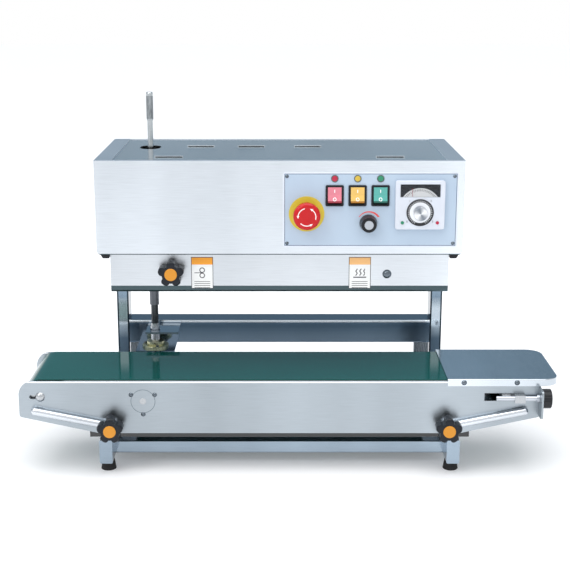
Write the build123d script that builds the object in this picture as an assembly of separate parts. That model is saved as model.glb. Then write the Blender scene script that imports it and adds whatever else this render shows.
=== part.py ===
"""Continuous band sealer: an upright bag sealing head over a short belt conveyor.

X runs along the conveyor, Y runs from the operator's side to the rear and Z is up.  While the
pieces are drawn, Y = 0 is the front of the casing and Z = 0 is the floor; at the end everything
moves so that the origin is at the bottom centre of the whole machine.  All sizes are in mm.
"""
from build123d import *
import math
import os

# ---- clearances ----------------------------------------------------------------------------
running = 0.08            # radial, shaft in a bearing bore
free = 0.3                # between pieces that move past each other
cutout_gap = 0.4          # round a piece that stands in a cut-out
press = 0.02              # radial, piece fixed on a shaft

# ---- casing of the head --------------------------------------------------------------------
head_width = 560.0
head_depth = 255.0
head_height = 145.0
head_bottom = 335.0       # lower edge of the casing above the floor
sheet = 1.2
casing_corner = 6.0       # rounded lower corners of the front
end_flange = 26.0         # width of the casing's top flanges at the ends
front_lip = 10.0          # width of the casing's top flange at the front
cover_overlap = 8.0       # top cover under the flanges
mech_plate = 4.0          # thickness of the mechanism plate
mech_recess = 1.0         # mechanism plate above the casing's lower edge

# ---- base frame ----------------------------------------------------------------------------
tube_wall = 1.5
runner_width = 20.0
runner_height = 38.0
runner_lead = 10.0        # runners in front of the conveyor's side plate
runner_tail = 35.0        # runners behind the casing
upright_inset = 2.4       # outside of the uprights inboard of the casing's ends
upright_depth = 40.0
upright_setback = 60.0    # front of the uprights before the casing's rear
foot_radius = 12.0
foot_height = 18.0
foot_setback = 27.0       # from the runners' ends
cross_tube = 20.0
cross_setback = 40.0      # front cross tube behind the runners' front
cross_bottom = 20.0

# ---- conveyor ------------------------------------------------------------------------------
belt_middle = 27.0        # Y of the belt's centre line
belt_width = 143.0
belt_top = 150.0
belt_thickness = 1.7
belt_margin = 2.5         # belt edge to side plate
plate_thickness = 3.0
plate_half_length = 400.0
plate_top_drop = 2.0      # side plates below the belt's surface
plate_bottom = 64.3
plate_end_bottom = 91.0
plate_full_half = 278.0   # where the side plates begin to taper
plate_corner = 22.0
end_roller_radius = 25.0
end_roller_inset = 33.0   # end rollers' axes from the side plates' ends
roller_margin = 1.5       # roller end to belt edge
axle_radius = 5.0
axle_bolt_radius = 3.2
axle_bolt_head = 7.5
axle_slot = 20.0
bed_thickness = 3.0
drive_bearing_radius = 18.5
drive_flange_radius = 25.0
drive_flange = 2.0
drive_screw_circle = 21.0

# ---- belt tension --------------------------------------------------------------------------
tension_travel = 10.0
tension_slot_left = 53.0  # slot's left end from the roller axis
block_width = 16.0
block_height = 12.0
block_reach = 12.0        # block in front of the side plate
tension_screw_offset = 7.0
tension_screw_radius = 3.8
tension_screw_tail = 36.0
tension_tab_reach = 25.0
tension_tab_height = 44.0
tension_knob_radius = 15.0
tension_knob_length = 14.0

# ---- carriage ------------------------------------------------------------------------------
lift_travel = 30.0
bar_gap = 5.7             # black bar below the belt
bar_depth = 25.0
bar_overhang = 15.4       # black bar beyond the runners
arm_width = 25.0
arm_thickness = 6.0
arm_gap = 1.1             # arm to upright
beam_height = 40.5
beam_bottom = 137.0
clamp_thickness = 4.0
clamp_width = 37.0
clamp_height = 25.0
brace_radius = 6.0
brace_top_inset = 25.0
brace_top_z = 102.0
brace_eye = 11.0
brace_eye_thickness = 5.0
knob_inset = 9.6          # clamp knobs inboard of the runners' centres
knob_height = 78.0        # clamp knob axis above the floor
stud_radius = 4.0

# ---- star knobs ----------------------------------------------------------------------------
star_lobes = 5
star_radius = 20.5
star_lobe = 6.5
star_thickness = 19.0
star_hub_radius = 8.0
star_hub = 7.5
star_cap_radius = 9.6
star_cap = 1.6

# ---- vertical drive ------------------------------------------------------------------------
shaft_inset = 70.5        # shaft axis from the casing's left end
shaft_lead = 36.0         # shaft axis before the front of the uprights
shaft_radius = 6.0
shaft_journal = 5.0
shaft_neck = 4.5
shaft_tip = 5.5
shaft_tip_length = 45.0
shaft_top = 568.0
shaft_step = 450.0        # upper end of the full diameter
sleeve_radius = 7.65
sleeve_bottom = 215.0
coupling_radius = 7.4
coupling_top = 183.0
coupling_ring = 8.4
bracket_thickness = 3.0
bracket_bottom = 139.0
bracket_top = 172.0
bracket_left = 30.5       # from the shaft axis
bracket_right = 34.5
bracket_front = 29.0
bracket_upper_left = 14.5
bracket_upper_right = 40.5
bracket_upper_front = 22.0
bearing_flange_radius = 22.0
bearing_flange = 4.0
bearing_hub_radius = 15.0
bearing_hub = 6.0
bevel_radius = 15.0
bevel_face = 9.0
bevel_hub_radius = 9.0
bevel_hub = 6.0
bevel_clearance = 0.4
cross_axis_z = 116.0

# ---- sealing mechanism ---------------------------------------------------------------------
guard_inset = 19.0        # guard's ends from the casing's ends
guard_front = 12.0
guard_back = 110.0
guard_bottom = 273.0
guard_bend = 6.0
seal_y = 56.0
bag_slot = 10.0
band_wheel_spacing = 315.0
band_wheel_radius = 19.0
band_wheel_height = 18.0
band_bottom = 283.0
band_height = 15.0
band_thickness = 0.4
film_gap = 0.6
wheel_shaft = 5.0
shaft_collar = 9.0
collar_height = 6.0
gear_thickness = 10.0
gear_rise = 2.0           # gears above the mechanism plate
tooth_depth = 2.5
block_depth = 11.0
block_length = 60.0
heater_x = 60.0
cooler_x = -20.0
pressure_x = -95.0
pressure_radius = 10.0
pressure_shaft = 4.0
motor_side = 64.0
motor_radius = 30.0
motor_gearbox = 28.0
motor_length = 70.0
motor_bracket_wall = 3.0
motor_bracket_half = 16.0
guard_knob_inset = 114.0  # guard knob and bolt from the casing's ends
guard_knob_z = 307.0
guard_tab_half = 12.0

# ---- control panel -------------------------------------------------------------------------
panel_width = 266.0
panel_height = 116.0
panel_margin = 9.2
panel_lift = 12.0
panel_thickness = 1.0
panel_corner = 5.0
panel_screw_inset = 6.5
screw_head = 2.8
stop_x = 36.2             # places on the panel are from its lower left corner
stop_z = 52.0
stop_radius = 20.5
stop_thickness = 14.0
stop_stand = 15.0
stop_stem = 11.0
stop_travel = 4.0
rocker_first_x = 78.5
rocker_pitch = 34.6
rocker_z = 80.0
frame_width = 27.5
frame_height = 32.0
frame_thickness = 2.0
rocker_width = 20.5
rocker_length = 23.6
rocker_pivot = 3.0
rocker_tilt = 9.0
rocker_body = 18.0
rocker_gap = 1.6
rocker_pin = 1.5
speed_x = 130.2
speed_z = 37.5
speed_radius = 13.6
speed_length = 16.0
control_stem = 3.0
controller_x = 207.7
controller_z = 66.2
controller_side = 75.0
controller_stand = 6.0
controller_body = 67.0
controller_depth = 60.0
dial_drop = 11.2
dial_radius = 10.5
dial_length = 13.0

# ---- top cover, rear panel, fan ------------------------------------------------------------
hole_length = 46.0
hole_width = 33.0
louver_length = 44.0
louver_width = 14.0
louver_height = 2.4
louver_places = ((-170.0, 44.0), (170.0, 44.0), (-128.0, 165.0), (-46.0, 165.0), (46.0, 165.0))
fan_side = 80.0
fan_depth = 25.0
fan_bore = 38.0
fan_x = 120.0
fan_z = 72.0              # above the casing's lower edge
fan_hub = 18.0
fan_blades = 7
inlet_x = 215.0
inlet_z = 32.0
inlet_width = 48.0
inlet_height = 24.0

# ---- feed tray -----------------------------------------------------------------------------
tray_length = 171.0
tray_beyond = 28.0        # tray past the side plates' ends
tray_gap = 0.5            # tray above the belt
tray_sheet = 1.5
tray_rim = 11.0
tray_corner = 25.0
tray_screw_places = (25.0, 106.0)
tray_screw_drop = 5.5

# ---- worked out ----------------------------------------------------------------------------
half_head = head_width / 2
head_top = head_bottom + head_height
mech_bottom = head_bottom + mech_recess
mech_top = mech_bottom + mech_plate
upright_out = half_head - upright_inset
upright_in = upright_out - runner_width
runner_x = (upright_out + upright_in) / 2
runner_top = foot_height + runner_height
plate_front = belt_middle - belt_width / 2 - belt_margin - plate_thickness
runner_front = plate_front - runner_lead
runner_back = head_depth + runner_tail
upright_front = head_depth - upright_setback
shaft_y = upright_front - shaft_lead
end_roller_x = plate_half_length - end_roller_inset
brace_top_x = plate_half_length - brace_top_inset
tray_right = plate_half_length + tray_beyond
tray_left = tray_right - tray_length
tray_screws = [tray_left + place for place in tray_screw_places]
plate_inner = plate_front + plate_thickness
plate_top = belt_top - plate_top_drop
roller_z = belt_top - belt_thickness - free - end_roller_radius
belt_inner = end_roller_radius + free
roller_front = belt_middle - belt_width / 2 + roller_margin
roller_back = belt_middle + belt_width / 2 - roller_margin
drive_roller_radius = cross_axis_z - (roller_z - belt_inner) - free
shaft_x = -(half_head - shaft_inset)
hollow_gear_radius = drive_roller_radius + free   # bands and belt run at one speed
knob_x = runner_x - knob_inset
bar_bottom = runner_top + free
bar_top = roller_z - belt_inner - belt_thickness - bar_gap
arm_out = upright_in - arm_gap
arm_in = arm_out - arm_width
beam_back = upright_front + upright_depth + free
beam_top = beam_bottom + beam_height
wheel_x = band_wheel_spacing / 2
wheel_offset = film_gap / 2 + band_thickness + free + band_wheel_radius
front_wheel_y = seal_y - wheel_offset
rear_wheel_y = seal_y + wheel_offset
wheel_bottom = band_bottom - (band_wheel_height - band_height) / 2
wheel_top = wheel_bottom + band_wheel_height
gear_bottom = mech_top + gear_rise
gear_top = gear_bottom + gear_thickness
guard_half = half_head - guard_inset
train_x = shaft_x + wheel_x
train_y = shaft_y - rear_wheel_y
train_length = math.hypot(train_x, train_y)
motor_gear_radius = (train_length - wheel_offset - hollow_gear_radius) / 2
motor_share = (wheel_offset + motor_gear_radius) / train_length
motor_x = -wheel_x + train_x * motor_share
motor_y = rear_wheel_y + train_y * motor_share
panel_left = half_head - panel_margin - panel_width
panel_bottom = head_bottom + panel_lift
panel_front = -panel_thickness
guard_knob_x = -(half_head - guard_knob_inset)
bracket_y = shaft_y - bracket_front
tension_y = plate_front - tension_screw_offset
tension_tab_bottom = roller_z - tension_tab_height * 0.64

nodes = {}


# ---- shapes --------------------------------------------------------------------------------
def block(x0, x1, y0, y1, z0, z1):
    """A box between two corners."""
    return Pos((x0 + x1) / 2, (y0 + y1) / 2, (z0 + z1) / 2) * Box(x1 - x0, y1 - y0, z1 - z0)


def rod_x(y, z, x0, x1, radius):
    return Pos((x0 + x1) / 2, y, z) * Rot(0, 90, 0) * Cylinder(radius, x1 - x0)


def rod_y(x, z, y0, y1, radius):
    return Pos(x, (y0 + y1) / 2, z) * Rot(90, 0, 0) * Cylinder(radius, y1 - y0)


def rod_z(x, y, z0, z1, radius):
    return Pos(x, y, (z0 + z1) / 2) * Cylinder(radius, z1 - z0)


def dome_y(x, z, y, radius, height):
    """A round screw head that stands height in front of the plane at y."""
    sphere = (radius ** 2 + height ** 2) / (2 * height)
    cap = Pos(x, y - height + sphere, z) * Sphere(sphere)
    reach = radius + 1
    return cap & block(x - reach, x + reach, y - height - 1, y, z - reach, z + reach)


def other_side(shape):
    """The same piece at the other end of the machine."""
    return mirror(shape, about=Plane.YZ)


def rear_side(shape):
    """The same piece on the rear side of the conveyor."""
    return mirror(shape, about=Plane((0, belt_middle, 0), z_dir=(0, 1, 0)))


def outline_y(points, y0, y1):
    """A flat piece with the given (x, z) outline between two Y planes."""
    plane = Plane((0, y1, 0), x_dir=(1, 0, 0), z_dir=(0, -1, 0))
    return extrude(plane * make_face(Polyline(*points, close=True)), y1 - y0)


def rounded(shape, axis, radius):
    """The shape with its edges along one axis rounded."""
    return fillet(shape.edges().filter_by(axis), radius)


def slot_y(x0, x1, z, y0, y1, height):
    """A round-ended slot along X, cut through along Y."""
    ends = height / 2
    middle = block(x0 + ends, x1 - ends, y0, y1, z - ends, z + ends)
    return middle + rod_y(x0 + ends, z, y0, y1, ends) + rod_y(x1 - ends, z, y0, y1, ends)


def toothed(radius, thickness):
    """A spur gear blank about Z with its underside at Z = 0."""
    count = round(radius * 1.25)
    points = []
    for tooth in range(count):
        for share, reach in ((-0.30, tooth_depth), (-0.16, 0), (0.16, 0), (0.30, tooth_depth)):
            angle = 2 * math.pi * (tooth + share) / count
            length = radius - free - reach
            points.append((length * math.cos(angle), length * math.sin(angle)))
    return extrude(make_face(Polyline(*points, close=True)), thickness)


def star_knob(x, z, back):
    """A lobed knob about Y whose hub starts at the back plane, with its cap."""
    skirt = back - star_hub
    face = skirt - star_thickness
    body = rod_y(x, z, face, skirt, star_radius - star_lobe)
    for lobe in range(star_lobes):
        angle = math.radians(90 + 360 * lobe / star_lobes)
        reach = star_radius - star_lobe
        lobe_x = x + reach * math.cos(angle)
        lobe_z = z + reach * math.sin(angle)
        body += rod_y(lobe_x, lobe_z, face, skirt, star_lobe)
    rim = rod_y(x, z, face, skirt, star_radius)
    body = body & fillet(rim.edges().group_by(Axis.Y)[0], 5)
    body += rod_y(x, z, skirt, back, star_hub_radius)
    body -= rod_y(x, z, face + 6, back + 1, stud_radius + running)
    cap = rod_y(x, z, face - star_cap, face, star_cap_radius)
    cap = fillet(cap.edges().group_by(Axis.Y)[0], 1.2)
    return [body, cap]


# ---- base ----------------------------------------------------------------------------------
def tube_y(x, y0, y1, z0, z1, width):
    """A square tube along Y."""
    outer = rounded(block(x - width / 2, x + width / 2, y0, y1, z0, z1), Axis.Y, 2.5)
    return outer - block(x - width / 2 + tube_wall, x + width / 2 - tube_wall, y0 - 1, y1 + 1,
                         z0 + tube_wall, z1 - tube_wall)


def base_frame():
    pieces = []
    end_plate = 2.0
    for side in (-1, 1):
        x = side * runner_x
        tube = tube_y(x, runner_front + end_plate, runner_back - end_plate,
                      foot_height, runner_top, runner_width)
        pieces.append(tube)
        for y in (runner_front, runner_back - end_plate):
            plate = block(x - runner_width / 2, x + runner_width / 2, y, y + end_plate,
                          foot_height, runner_top)
            pieces.append(rounded(plate, Axis.Y, 2.5))
    for y in (runner_front + cross_setback, runner_back - cross_setback - cross_tube):
        outer = block(-upright_in, upright_in, y, y + cross_tube,
                      cross_bottom, cross_bottom + cross_tube)
        inner = block(-upright_in - 1, upright_in + 1, y + tube_wall, y + cross_tube - tube_wall,
                      cross_bottom + tube_wall, cross_bottom + cross_tube - tube_wall)
        pieces.append(rounded(outer, Axis.X, 2) - inner)
    nodes["base_frame"] = pieces


def feet():
    pieces = []
    for x in (-runner_x, runner_x):
        for y in (runner_front + foot_setback, runner_back - foot_setback):
            foot = Pos(x, y, foot_height / 2) * Cone(foot_radius, foot_radius - 3, foot_height)
            pieces.append(fillet(foot.edges().group_by(Axis.Z)[0], 1.0))
    nodes["feet"] = pieces


def uprights():
    outer = block(upright_in, upright_out, upright_front, upright_front + upright_depth,
                  runner_top, mech_bottom)
    outer = rounded(outer, Axis.Z, 2)
    inner = block(upright_in + tube_wall, upright_out - tube_wall, upright_front + tube_wall,
                  upright_front + upright_depth - tube_wall, runner_top - 1, mech_bottom + 1)
    leg = outer - inner
    nodes["uprights"] = [leg, other_side(leg)]


# ---- head casing ---------------------------------------------------------------------------
def panel_hole(x, z, width, height, back):
    """A rectangular hole through the control plate and the casing's front."""
    return block(x - width / 2, x + width / 2, panel_front - 1, back, z - height / 2,
                 z + height / 2)


def panel_places():
    """World X and Z of the emergency stop, rockers, speed knob and controller."""
    stop = (panel_left + stop_x, panel_bottom + stop_z)
    rockers = [(panel_left + rocker_first_x + rocker_pitch * i, panel_bottom + rocker_z)
               for i in range(3)]
    speed = (panel_left + speed_x, panel_bottom + speed_z)
    controller = (panel_left + controller_x, panel_bottom + controller_z)
    return stop, rockers, speed, controller


def cut_panel_holes(shape):
    stop, rockers, speed, controller = panel_places()
    back = sheet + 1
    shape -= rod_y(stop[0], stop[1], panel_front - 1, back, stop_stem + running)
    for x, z in rockers:
        shape -= panel_hole(x, z, frame_width - 3, frame_height - 3, back)
    shape -= rod_y(speed[0], speed[1], panel_front - 1, back, control_stem + running)
    side = controller_body + 2 * cutout_gap
    shape -= panel_hole(controller[0], controller[1], side, side, back)
    return shape


def housing_shell():
    outer = block(-half_head, half_head, 0, head_depth, head_bottom, head_top)
    lower = outer.edges().filter_by(Axis.Y).group_by(Axis.Z)[0]
    outer = fillet(lower, casing_corner)
    outer = fillet(outer.edges().filter_by(Axis.Z).group_by(Axis.Y)[0], 1.5)
    inner = block(-half_head + sheet, half_head - sheet, sheet, head_depth + 1,
                  head_bottom - 1, head_top - sheet)
    opening = block(-half_head + end_flange, half_head - end_flange, front_lip, head_depth + 1,
                    head_top - sheet - 1, head_top + 1)
    nodes["housing_shell"] = [cut_panel_holes(outer - inner - opening)]


def top_cover():
    top = head_top - sheet
    bottom = top - sheet
    half = half_head - end_flange + cover_overlap
    cover = block(-half, half, front_lip - cover_overlap, head_depth, bottom, top)
    straight = (hole_length - hole_width) / 2
    for y in (shaft_y - straight, shaft_y + straight):
        cover -= rod_z(shaft_x, y, bottom - 1, top + 1, hole_width / 2)
    cover -= block(shaft_x - hole_width / 2, shaft_x + hole_width / 2, shaft_y - straight,
                   shaft_y + straight, bottom - 1, top + 1)
    for x, y in louver_places:
        hood = block(x - louver_length / 2, x + louver_length / 2, y, y + louver_width,
                     top - sheet, top + louver_height)
        rear_edge = hood.edges().filter_by(Axis.X).group_by(Axis.Z)[-1].sort_by(Axis.Y)[-1]
        hood = chamfer(rear_edge, louver_height - 0.5, louver_width - 1)
        cover -= block(x - louver_length / 2, x + louver_length / 2, y, y + louver_width / 2,
                       bottom - 1, top + 1)
        void = block(x - louver_length / 2 + sheet, x + louver_length / 2 - sheet, y - 1,
                     y + louver_width / 2, bottom - 1, top + louver_height - sheet)
        cover += hood - void
    nodes["top_cover"] = [cover]


def rear_panel():
    """Closes the back of the casing, with the fan's grille and the inlet's cut-out."""
    front = head_depth
    back = head_depth + sheet
    panel = block(-half_head, half_head, front, back, mech_bottom, head_top)
    z_fan = head_bottom + fan_z
    pitch = 9.0
    for row in range(-4, 5):
        for column in range(-4, 5):
            x = (column + (row % 2) / 2) * pitch
            z = row * pitch * 0.866
            if math.hypot(x, z) < fan_bore - 4:
                panel -= rod_y(fan_x + x, z_fan + z, front - 1, back + 1, 3.2)
    panel -= block(inlet_x - 14, inlet_x + 14, front - 1, back + 1,
                   head_bottom + inlet_z - 10, head_bottom + inlet_z + 10)
    nodes["rear_panel"] = [panel]


def power_inlet():
    z = head_bottom + inlet_z
    back = head_depth + sheet
    flange = block(inlet_x - inlet_width / 2, inlet_x + inlet_width / 2, back, back + 3,
                   z - inlet_height / 2, z + inlet_height / 2)
    flange = rounded(flange, Axis.Y, 4)
    body = block(inlet_x - 14 + cutout_gap, inlet_x + 14 - cutout_gap, back - 22, back,
                 z - 10 + cutout_gap, z + 10 - cutout_gap)
    inlet = flange + body
    inlet -= block(inlet_x - 12, inlet_x + 12, back - 15, back + 4, z - 8, z + 8)
    for x in (-7, 0, 7):
        inlet += block(inlet_x + x - 1, inlet_x + x + 1, back - 16, back + 1, z - 2, z + 2)
    nodes["power_inlet"] = [inlet]


def fan():
    """The cooling fan on the rear panel: its frame and its rotor about Y."""
    z = head_bottom + fan_z
    back = head_depth
    front = back - fan_depth
    frame = block(fan_x - fan_side / 2, fan_x + fan_side / 2, front, back, z - fan_side / 2,
                  z + fan_side / 2)
    frame = rounded(frame, Axis.Y, 4)
    frame -= rod_y(fan_x, z, front - 1, back + 1, fan_bore)
    frame += rod_y(fan_x, z, front, front + 3, fan_hub)
    for turn in (0, 120, 240):
        strut = block(fan_x - 2, fan_x + 2, front, front + 3, z + fan_hub - 2, z + fan_bore + 1)
        frame += strut.rotate(Axis((fan_x, 0, z), (0, 1, 0)), turn)
    frame += rod_y(fan_x, z, front + 3, front + 8, 3)
    nodes["fan_housing"] = [frame]
    rotor = rod_y(fan_x, z, front + 4, back - 3, fan_hub - 1)
    for blade in range(fan_blades):
        vane = block(fan_x - 0.8, fan_x + 0.8, front + 5, back - 4, z + fan_hub - 3,
                     z + fan_bore - 1.5)
        vane = vane.rotate(Axis((fan_x, (front + back) / 2, z), (0, 0, 1)), 35)
        rotor += vane.rotate(Axis((fan_x, 0, z), (0, 1, 0)), 360 * blade / fan_blades)
    rotor -= rod_y(fan_x, z, front + 3, front + 9, 3 + running)
    nodes["fan_rotor"] = [rotor]


# ---- control panel -------------------------------------------------------------------------
def control_plate():
    plate = block(panel_left, panel_left + panel_width, panel_front, 0, panel_bottom,
                  panel_bottom + panel_height)
    nodes["control_plate"] = [cut_panel_holes(rounded(plate, Axis.Y, panel_corner))]


def head_screws():
    """The control plate's four screws and the guard's dome bolt."""
    pieces = []
    for x in (panel_left + panel_screw_inset, panel_left + panel_width - panel_screw_inset):
        for z in (panel_bottom + panel_screw_inset,
                  panel_bottom + panel_height - panel_screw_inset):
            head = dome_y(x, z, panel_front, screw_head, 1.6)
            pieces.append(head - rod_y(x, z, panel_front - 3, panel_front - 0.6, 1.0))
    bolt = dome_y(-guard_knob_x, guard_knob_z - 5, guard_front, 7, 4.5)
    pieces.append(bolt)
    nodes["head_screws"] = pieces


def emergency_stop():
    (x, z), _, _, _ = panel_places()
    back = panel_front - stop_stand + 1
    face = back - stop_thickness
    head = rod_y(x, z, face, back, stop_radius)
    head = fillet(head.edges().group_by(Axis.Y)[0], 5)
    head = fillet(head.edges().group_by(Axis.Y)[-1], 1.5)
    stem = rod_y(x, z, back, sheet + 14, stop_stem)
    nodes["estop_button"] = [head + stem]


def rocker_switches():
    """Frames and rockers; each rocker rests in its off position."""
    _, places, _, _ = panel_places()
    frames = []
    names = ("power_rocker", "heater_rocker", "fan_rocker")
    for name, (x, z) in zip(names, places):
        flange = block(x - frame_width / 2, x + frame_width / 2, panel_front - frame_thickness,
                       panel_front, z - frame_height / 2, z + frame_height / 2)
        flange = rounded(flange, Axis.Y, 2)
        half_w = frame_width / 2 - 1.5 - cutout_gap
        half_h = frame_height / 2 - 1.5 - cutout_gap
        body = block(x - half_w, x + half_w, panel_front, rocker_body, z - half_h, z + half_h)
        well_w = rocker_width / 2 + free + 0.2
        well_h = rocker_length / 2 + rocker_gap
        well = block(x - well_w, x + well_w, panel_front - frame_thickness - 1, rocker_body - 2,
                     z - well_h, z + well_h)
        bore = rod_x(rocker_pivot, z, x - frame_width / 2, x + frame_width / 2,
                     rocker_pin + running)
        frames.append(flange + body - well - bore)
        half = rocker_length / 2
        rise = half * math.tan(math.radians(rocker_tilt))
        front = panel_front - frame_thickness - 1.2
        points = [(front, z), (front - rise, z + half), (front + 4 - rise, z + half),
                  (rocker_pivot + 3, z + 3), (rocker_pivot + 3, z - 3),
                  (front + 4 - rise, z - half), (front - rise, z - half)]
        side = Plane((x + rocker_width / 2, 0, 0), x_dir=(0, 1, 0), z_dir=(1, 0, 0))
        rocker = extrude(side * make_face(Polyline(*points, close=True)), -rocker_width)
        rocker += rod_x(rocker_pivot, z, x - half_w + 0.2, x + half_w - 0.2, rocker_pin)
        pivot = Axis((x, rocker_pivot, z), (1, 0, 0))
        nodes[name] = [rocker.rotate(pivot, -rocker_tilt)]
    nodes["switch_frames"] = frames


def knobs():
    _, _, (x, z), controller = panel_places()
    face = panel_front - 0.6 - speed_length
    knob = Pos(x, panel_front - 0.6 - speed_length / 2, z) * Rot(90, 0, 0) * Cone(
        speed_radius, speed_radius - 2.2, speed_length)
    for groove in range(18):
        cut = rod_y(x + speed_radius + 0.6, z, face - 1, panel_front - 4, 1.2)
        knob -= cut.rotate(Axis((x, 0, z), (0, 1, 0)), 20 * groove)
    knob += rod_y(x, z, face - 0.8, face, speed_radius / 2)
    knob += rod_y(x, z, panel_front - 1, sheet + 8, control_stem)
    nodes["speed_knob"] = [knob]

    x, z = controller
    front = panel_front - controller_stand
    half = controller_side / 2
    case = block(x - half, x + half, front, panel_front, z - half, z + half)
    case = rounded(case, Axis.Y, 4)
    case = fillet(case.faces().sort_by(Axis.Y)[0].edges(), 1.2)
    half = controller_body / 2
    case += block(x - half, x + half, panel_front, controller_depth, z - half, z + half)
    case -= block(x - 30.5, x + 30.5, front - 1, front + 1.5, z + 12, z + 32)
    dial_z = z - dial_drop
    case -= rod_y(x, dial_z, front - 1, front + 8, control_stem + running)
    nodes["controller_case"] = [case]
    dial = rod_y(x, dial_z, front - 0.5 - dial_length, front - 0.5, dial_radius)
    dial = fillet(dial.edges().group_by(Axis.Y)[0], 1.5)
    dial += block(x - 1.6, x + 1.6, front - dial_length - 2, front - dial_length + 1,
                  dial_z - dial_radius + 1, dial_z + dial_radius - 1)
    dial += rod_y(x, dial_z, front - 1, front + 7, control_stem)
    nodes["controller_knob"] = [dial]


# ---- sealing mechanism ---------------------------------------------------------------------
def train_axes():
    """X, Y and radius of every shaft that passes through the mechanism plate."""
    axes = []
    for x in (-wheel_x, wheel_x):
        for y in (front_wheel_y, rear_wheel_y):
            axes.append((x, y, wheel_shaft))
    reach = film_gap / 2 + band_thickness + free + pressure_radius
    for y in (seal_y - reach, seal_y + reach):
        axes.append((pressure_x, y, pressure_shaft))
    axes.append((shaft_x, shaft_y, sleeve_radius))
    return axes


def mechanism_plate():
    plate = block(-half_head + sheet, half_head - sheet, sheet, head_depth, mech_bottom, mech_top)
    for x, y, radius in train_axes():
        plate -= rod_z(x, y, mech_bottom - 1, mech_top + 1, radius + running)
    tab_x = guard_knob_x
    tab = block(tab_x - guard_tab_half, tab_x + guard_tab_half, guard_front + sheet,
                guard_front + 2 * sheet, guard_knob_z - 6, mech_bottom)
    stud = rod_y(tab_x, guard_knob_z, guard_front - star_hub - 12, guard_front + sheet,
                 stud_radius)
    nodes["mechanism_plate"] = [plate + tab + stud]


def guard(y0, y1, bend_at_front):
    """A folded guard under the mechanism plate, open at the top and towards the bag slot."""
    outer = block(-guard_half, guard_half, y0, y1, guard_bottom, mech_bottom)
    low = outer.edges().filter_by(Axis.X).group_by(Axis.Z)[0].sort_by(Axis.Y)
    outer = fillet(low[0] if bend_at_front else low[-1], guard_bend)
    inner_y0 = y0 + sheet if bend_at_front else y0 - 1
    inner_y1 = y1 + 1 if bend_at_front else y1 - sheet
    inner = block(-guard_half + sheet, guard_half - sheet, inner_y0, inner_y1,
                  guard_bottom + sheet, mech_bottom + 1)
    low = inner.edges().filter_by(Axis.X).group_by(Axis.Z)[0].sort_by(Axis.Y)
    inner = fillet(low[0] if bend_at_front else low[-1], guard_bend - sheet)
    return outer - inner


def guards():
    front = guard(guard_front, seal_y - bag_slot / 2, True)
    width = stud_radius + 0.6
    front -= block(guard_knob_x - width, guard_knob_x + width, guard_front - 1,
                   guard_front + sheet, guard_knob_z, mech_bottom)
    front -= rod_y(guard_knob_x, guard_knob_z, guard_front - 1, guard_front + sheet, width)
    nodes["front_guard"] = [front]
    nodes["rear_guard"] = [guard(seal_y + bag_slot / 2, guard_back, False)]
    nodes["guard_knob"] = star_knob(guard_knob_x, guard_knob_z, guard_front - free)


def band_wheel(x, y, geared):
    wheel = rod_z(x, y, wheel_bottom, wheel_top, band_wheel_radius)
    wheel = chamfer(wheel.edges(), 0.8)
    if geared:
        wheel += rod_z(x, y, wheel_top, gear_bottom, wheel_shaft)
        wheel += rod_z(x, y, mech_top + free, gear_bottom, shaft_collar)
        wheel += Pos(x, y, gear_bottom) * toothed(wheel_offset, gear_thickness)
    else:
        wheel += rod_z(x, y, wheel_top, mech_top + free, wheel_shaft)
        wheel += rod_z(x, y, mech_top + free, mech_top + collar_height, shaft_collar)
    return wheel


def seal_bands():
    pieces = []
    for y in (front_wheel_y, rear_wheel_y):
        loops = []
        for radius in (band_wheel_radius + free, band_wheel_radius + free + band_thickness):
            height = band_height if loops else band_height + 2
            loop = block(-wheel_x, wheel_x, y - radius, y + radius, 0, height)
            for x in (-wheel_x, wheel_x):
                loop += rod_z(x, y, 0, height, radius)
            loops.append(Pos(0, 0, band_bottom - (0 if loops else 1)) * loop)
        pieces.append(loops[1] - loops[0])
    nodes["seal_bands"] = pieces


def seal_block(x, side, fins):
    """A heating or cooling block inside one band, hung from the mechanism plate."""
    near = seal_y + side * (film_gap / 2 + band_thickness + free)
    far = near + side * block_depth
    y0, y1 = sorted((near, far))
    bar = block(x - block_length / 2, x + block_length / 2, y0, y1, wheel_bottom, wheel_top)
    for fin in range(fins):
        place = x - block_length / 2 + 6 + fin * (block_length - 12) / (fins - 1)
        y_cut = far - side * 4
        low, high = sorted((y_cut, far + side))
        bar -= block(place - 1.2, place + 1.2, low, high, wheel_bottom - 1, wheel_top + 1)
    return bar + block(x - 10, x + 10, y0 + 2, y1 - 2, wheel_top, mech_bottom)


def mechanism():
    places = {"band_drive_front": (-wheel_x, front_wheel_y, True),
              "band_drive_rear": (-wheel_x, rear_wheel_y, True),
              "band_idler_front": (wheel_x, front_wheel_y, False),
              "band_idler_rear": (wheel_x, rear_wheel_y, False)}
    for name, (x, y, geared) in places.items():
        nodes[name] = [band_wheel(x, y, geared)]
    nodes["heating_blocks"] = [seal_block(heater_x, side, 0) for side in (-1, 1)]
    nodes["cooling_blocks"] = [seal_block(cooler_x, side, 7) for side in (-1, 1)]
    for name, (x, y, radius) in zip(("pressure_roller_front", "pressure_roller_rear"),
                                    train_axes()[4:6]):
        roller = rod_z(x, y, wheel_bottom, wheel_top, pressure_radius)
        roller += rod_z(x, y, wheel_top, mech_top + free, radius)
        roller += rod_z(x, y, mech_top + free, mech_top + collar_height, shaft_collar - 2)
        nodes[name] = [roller]


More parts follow.
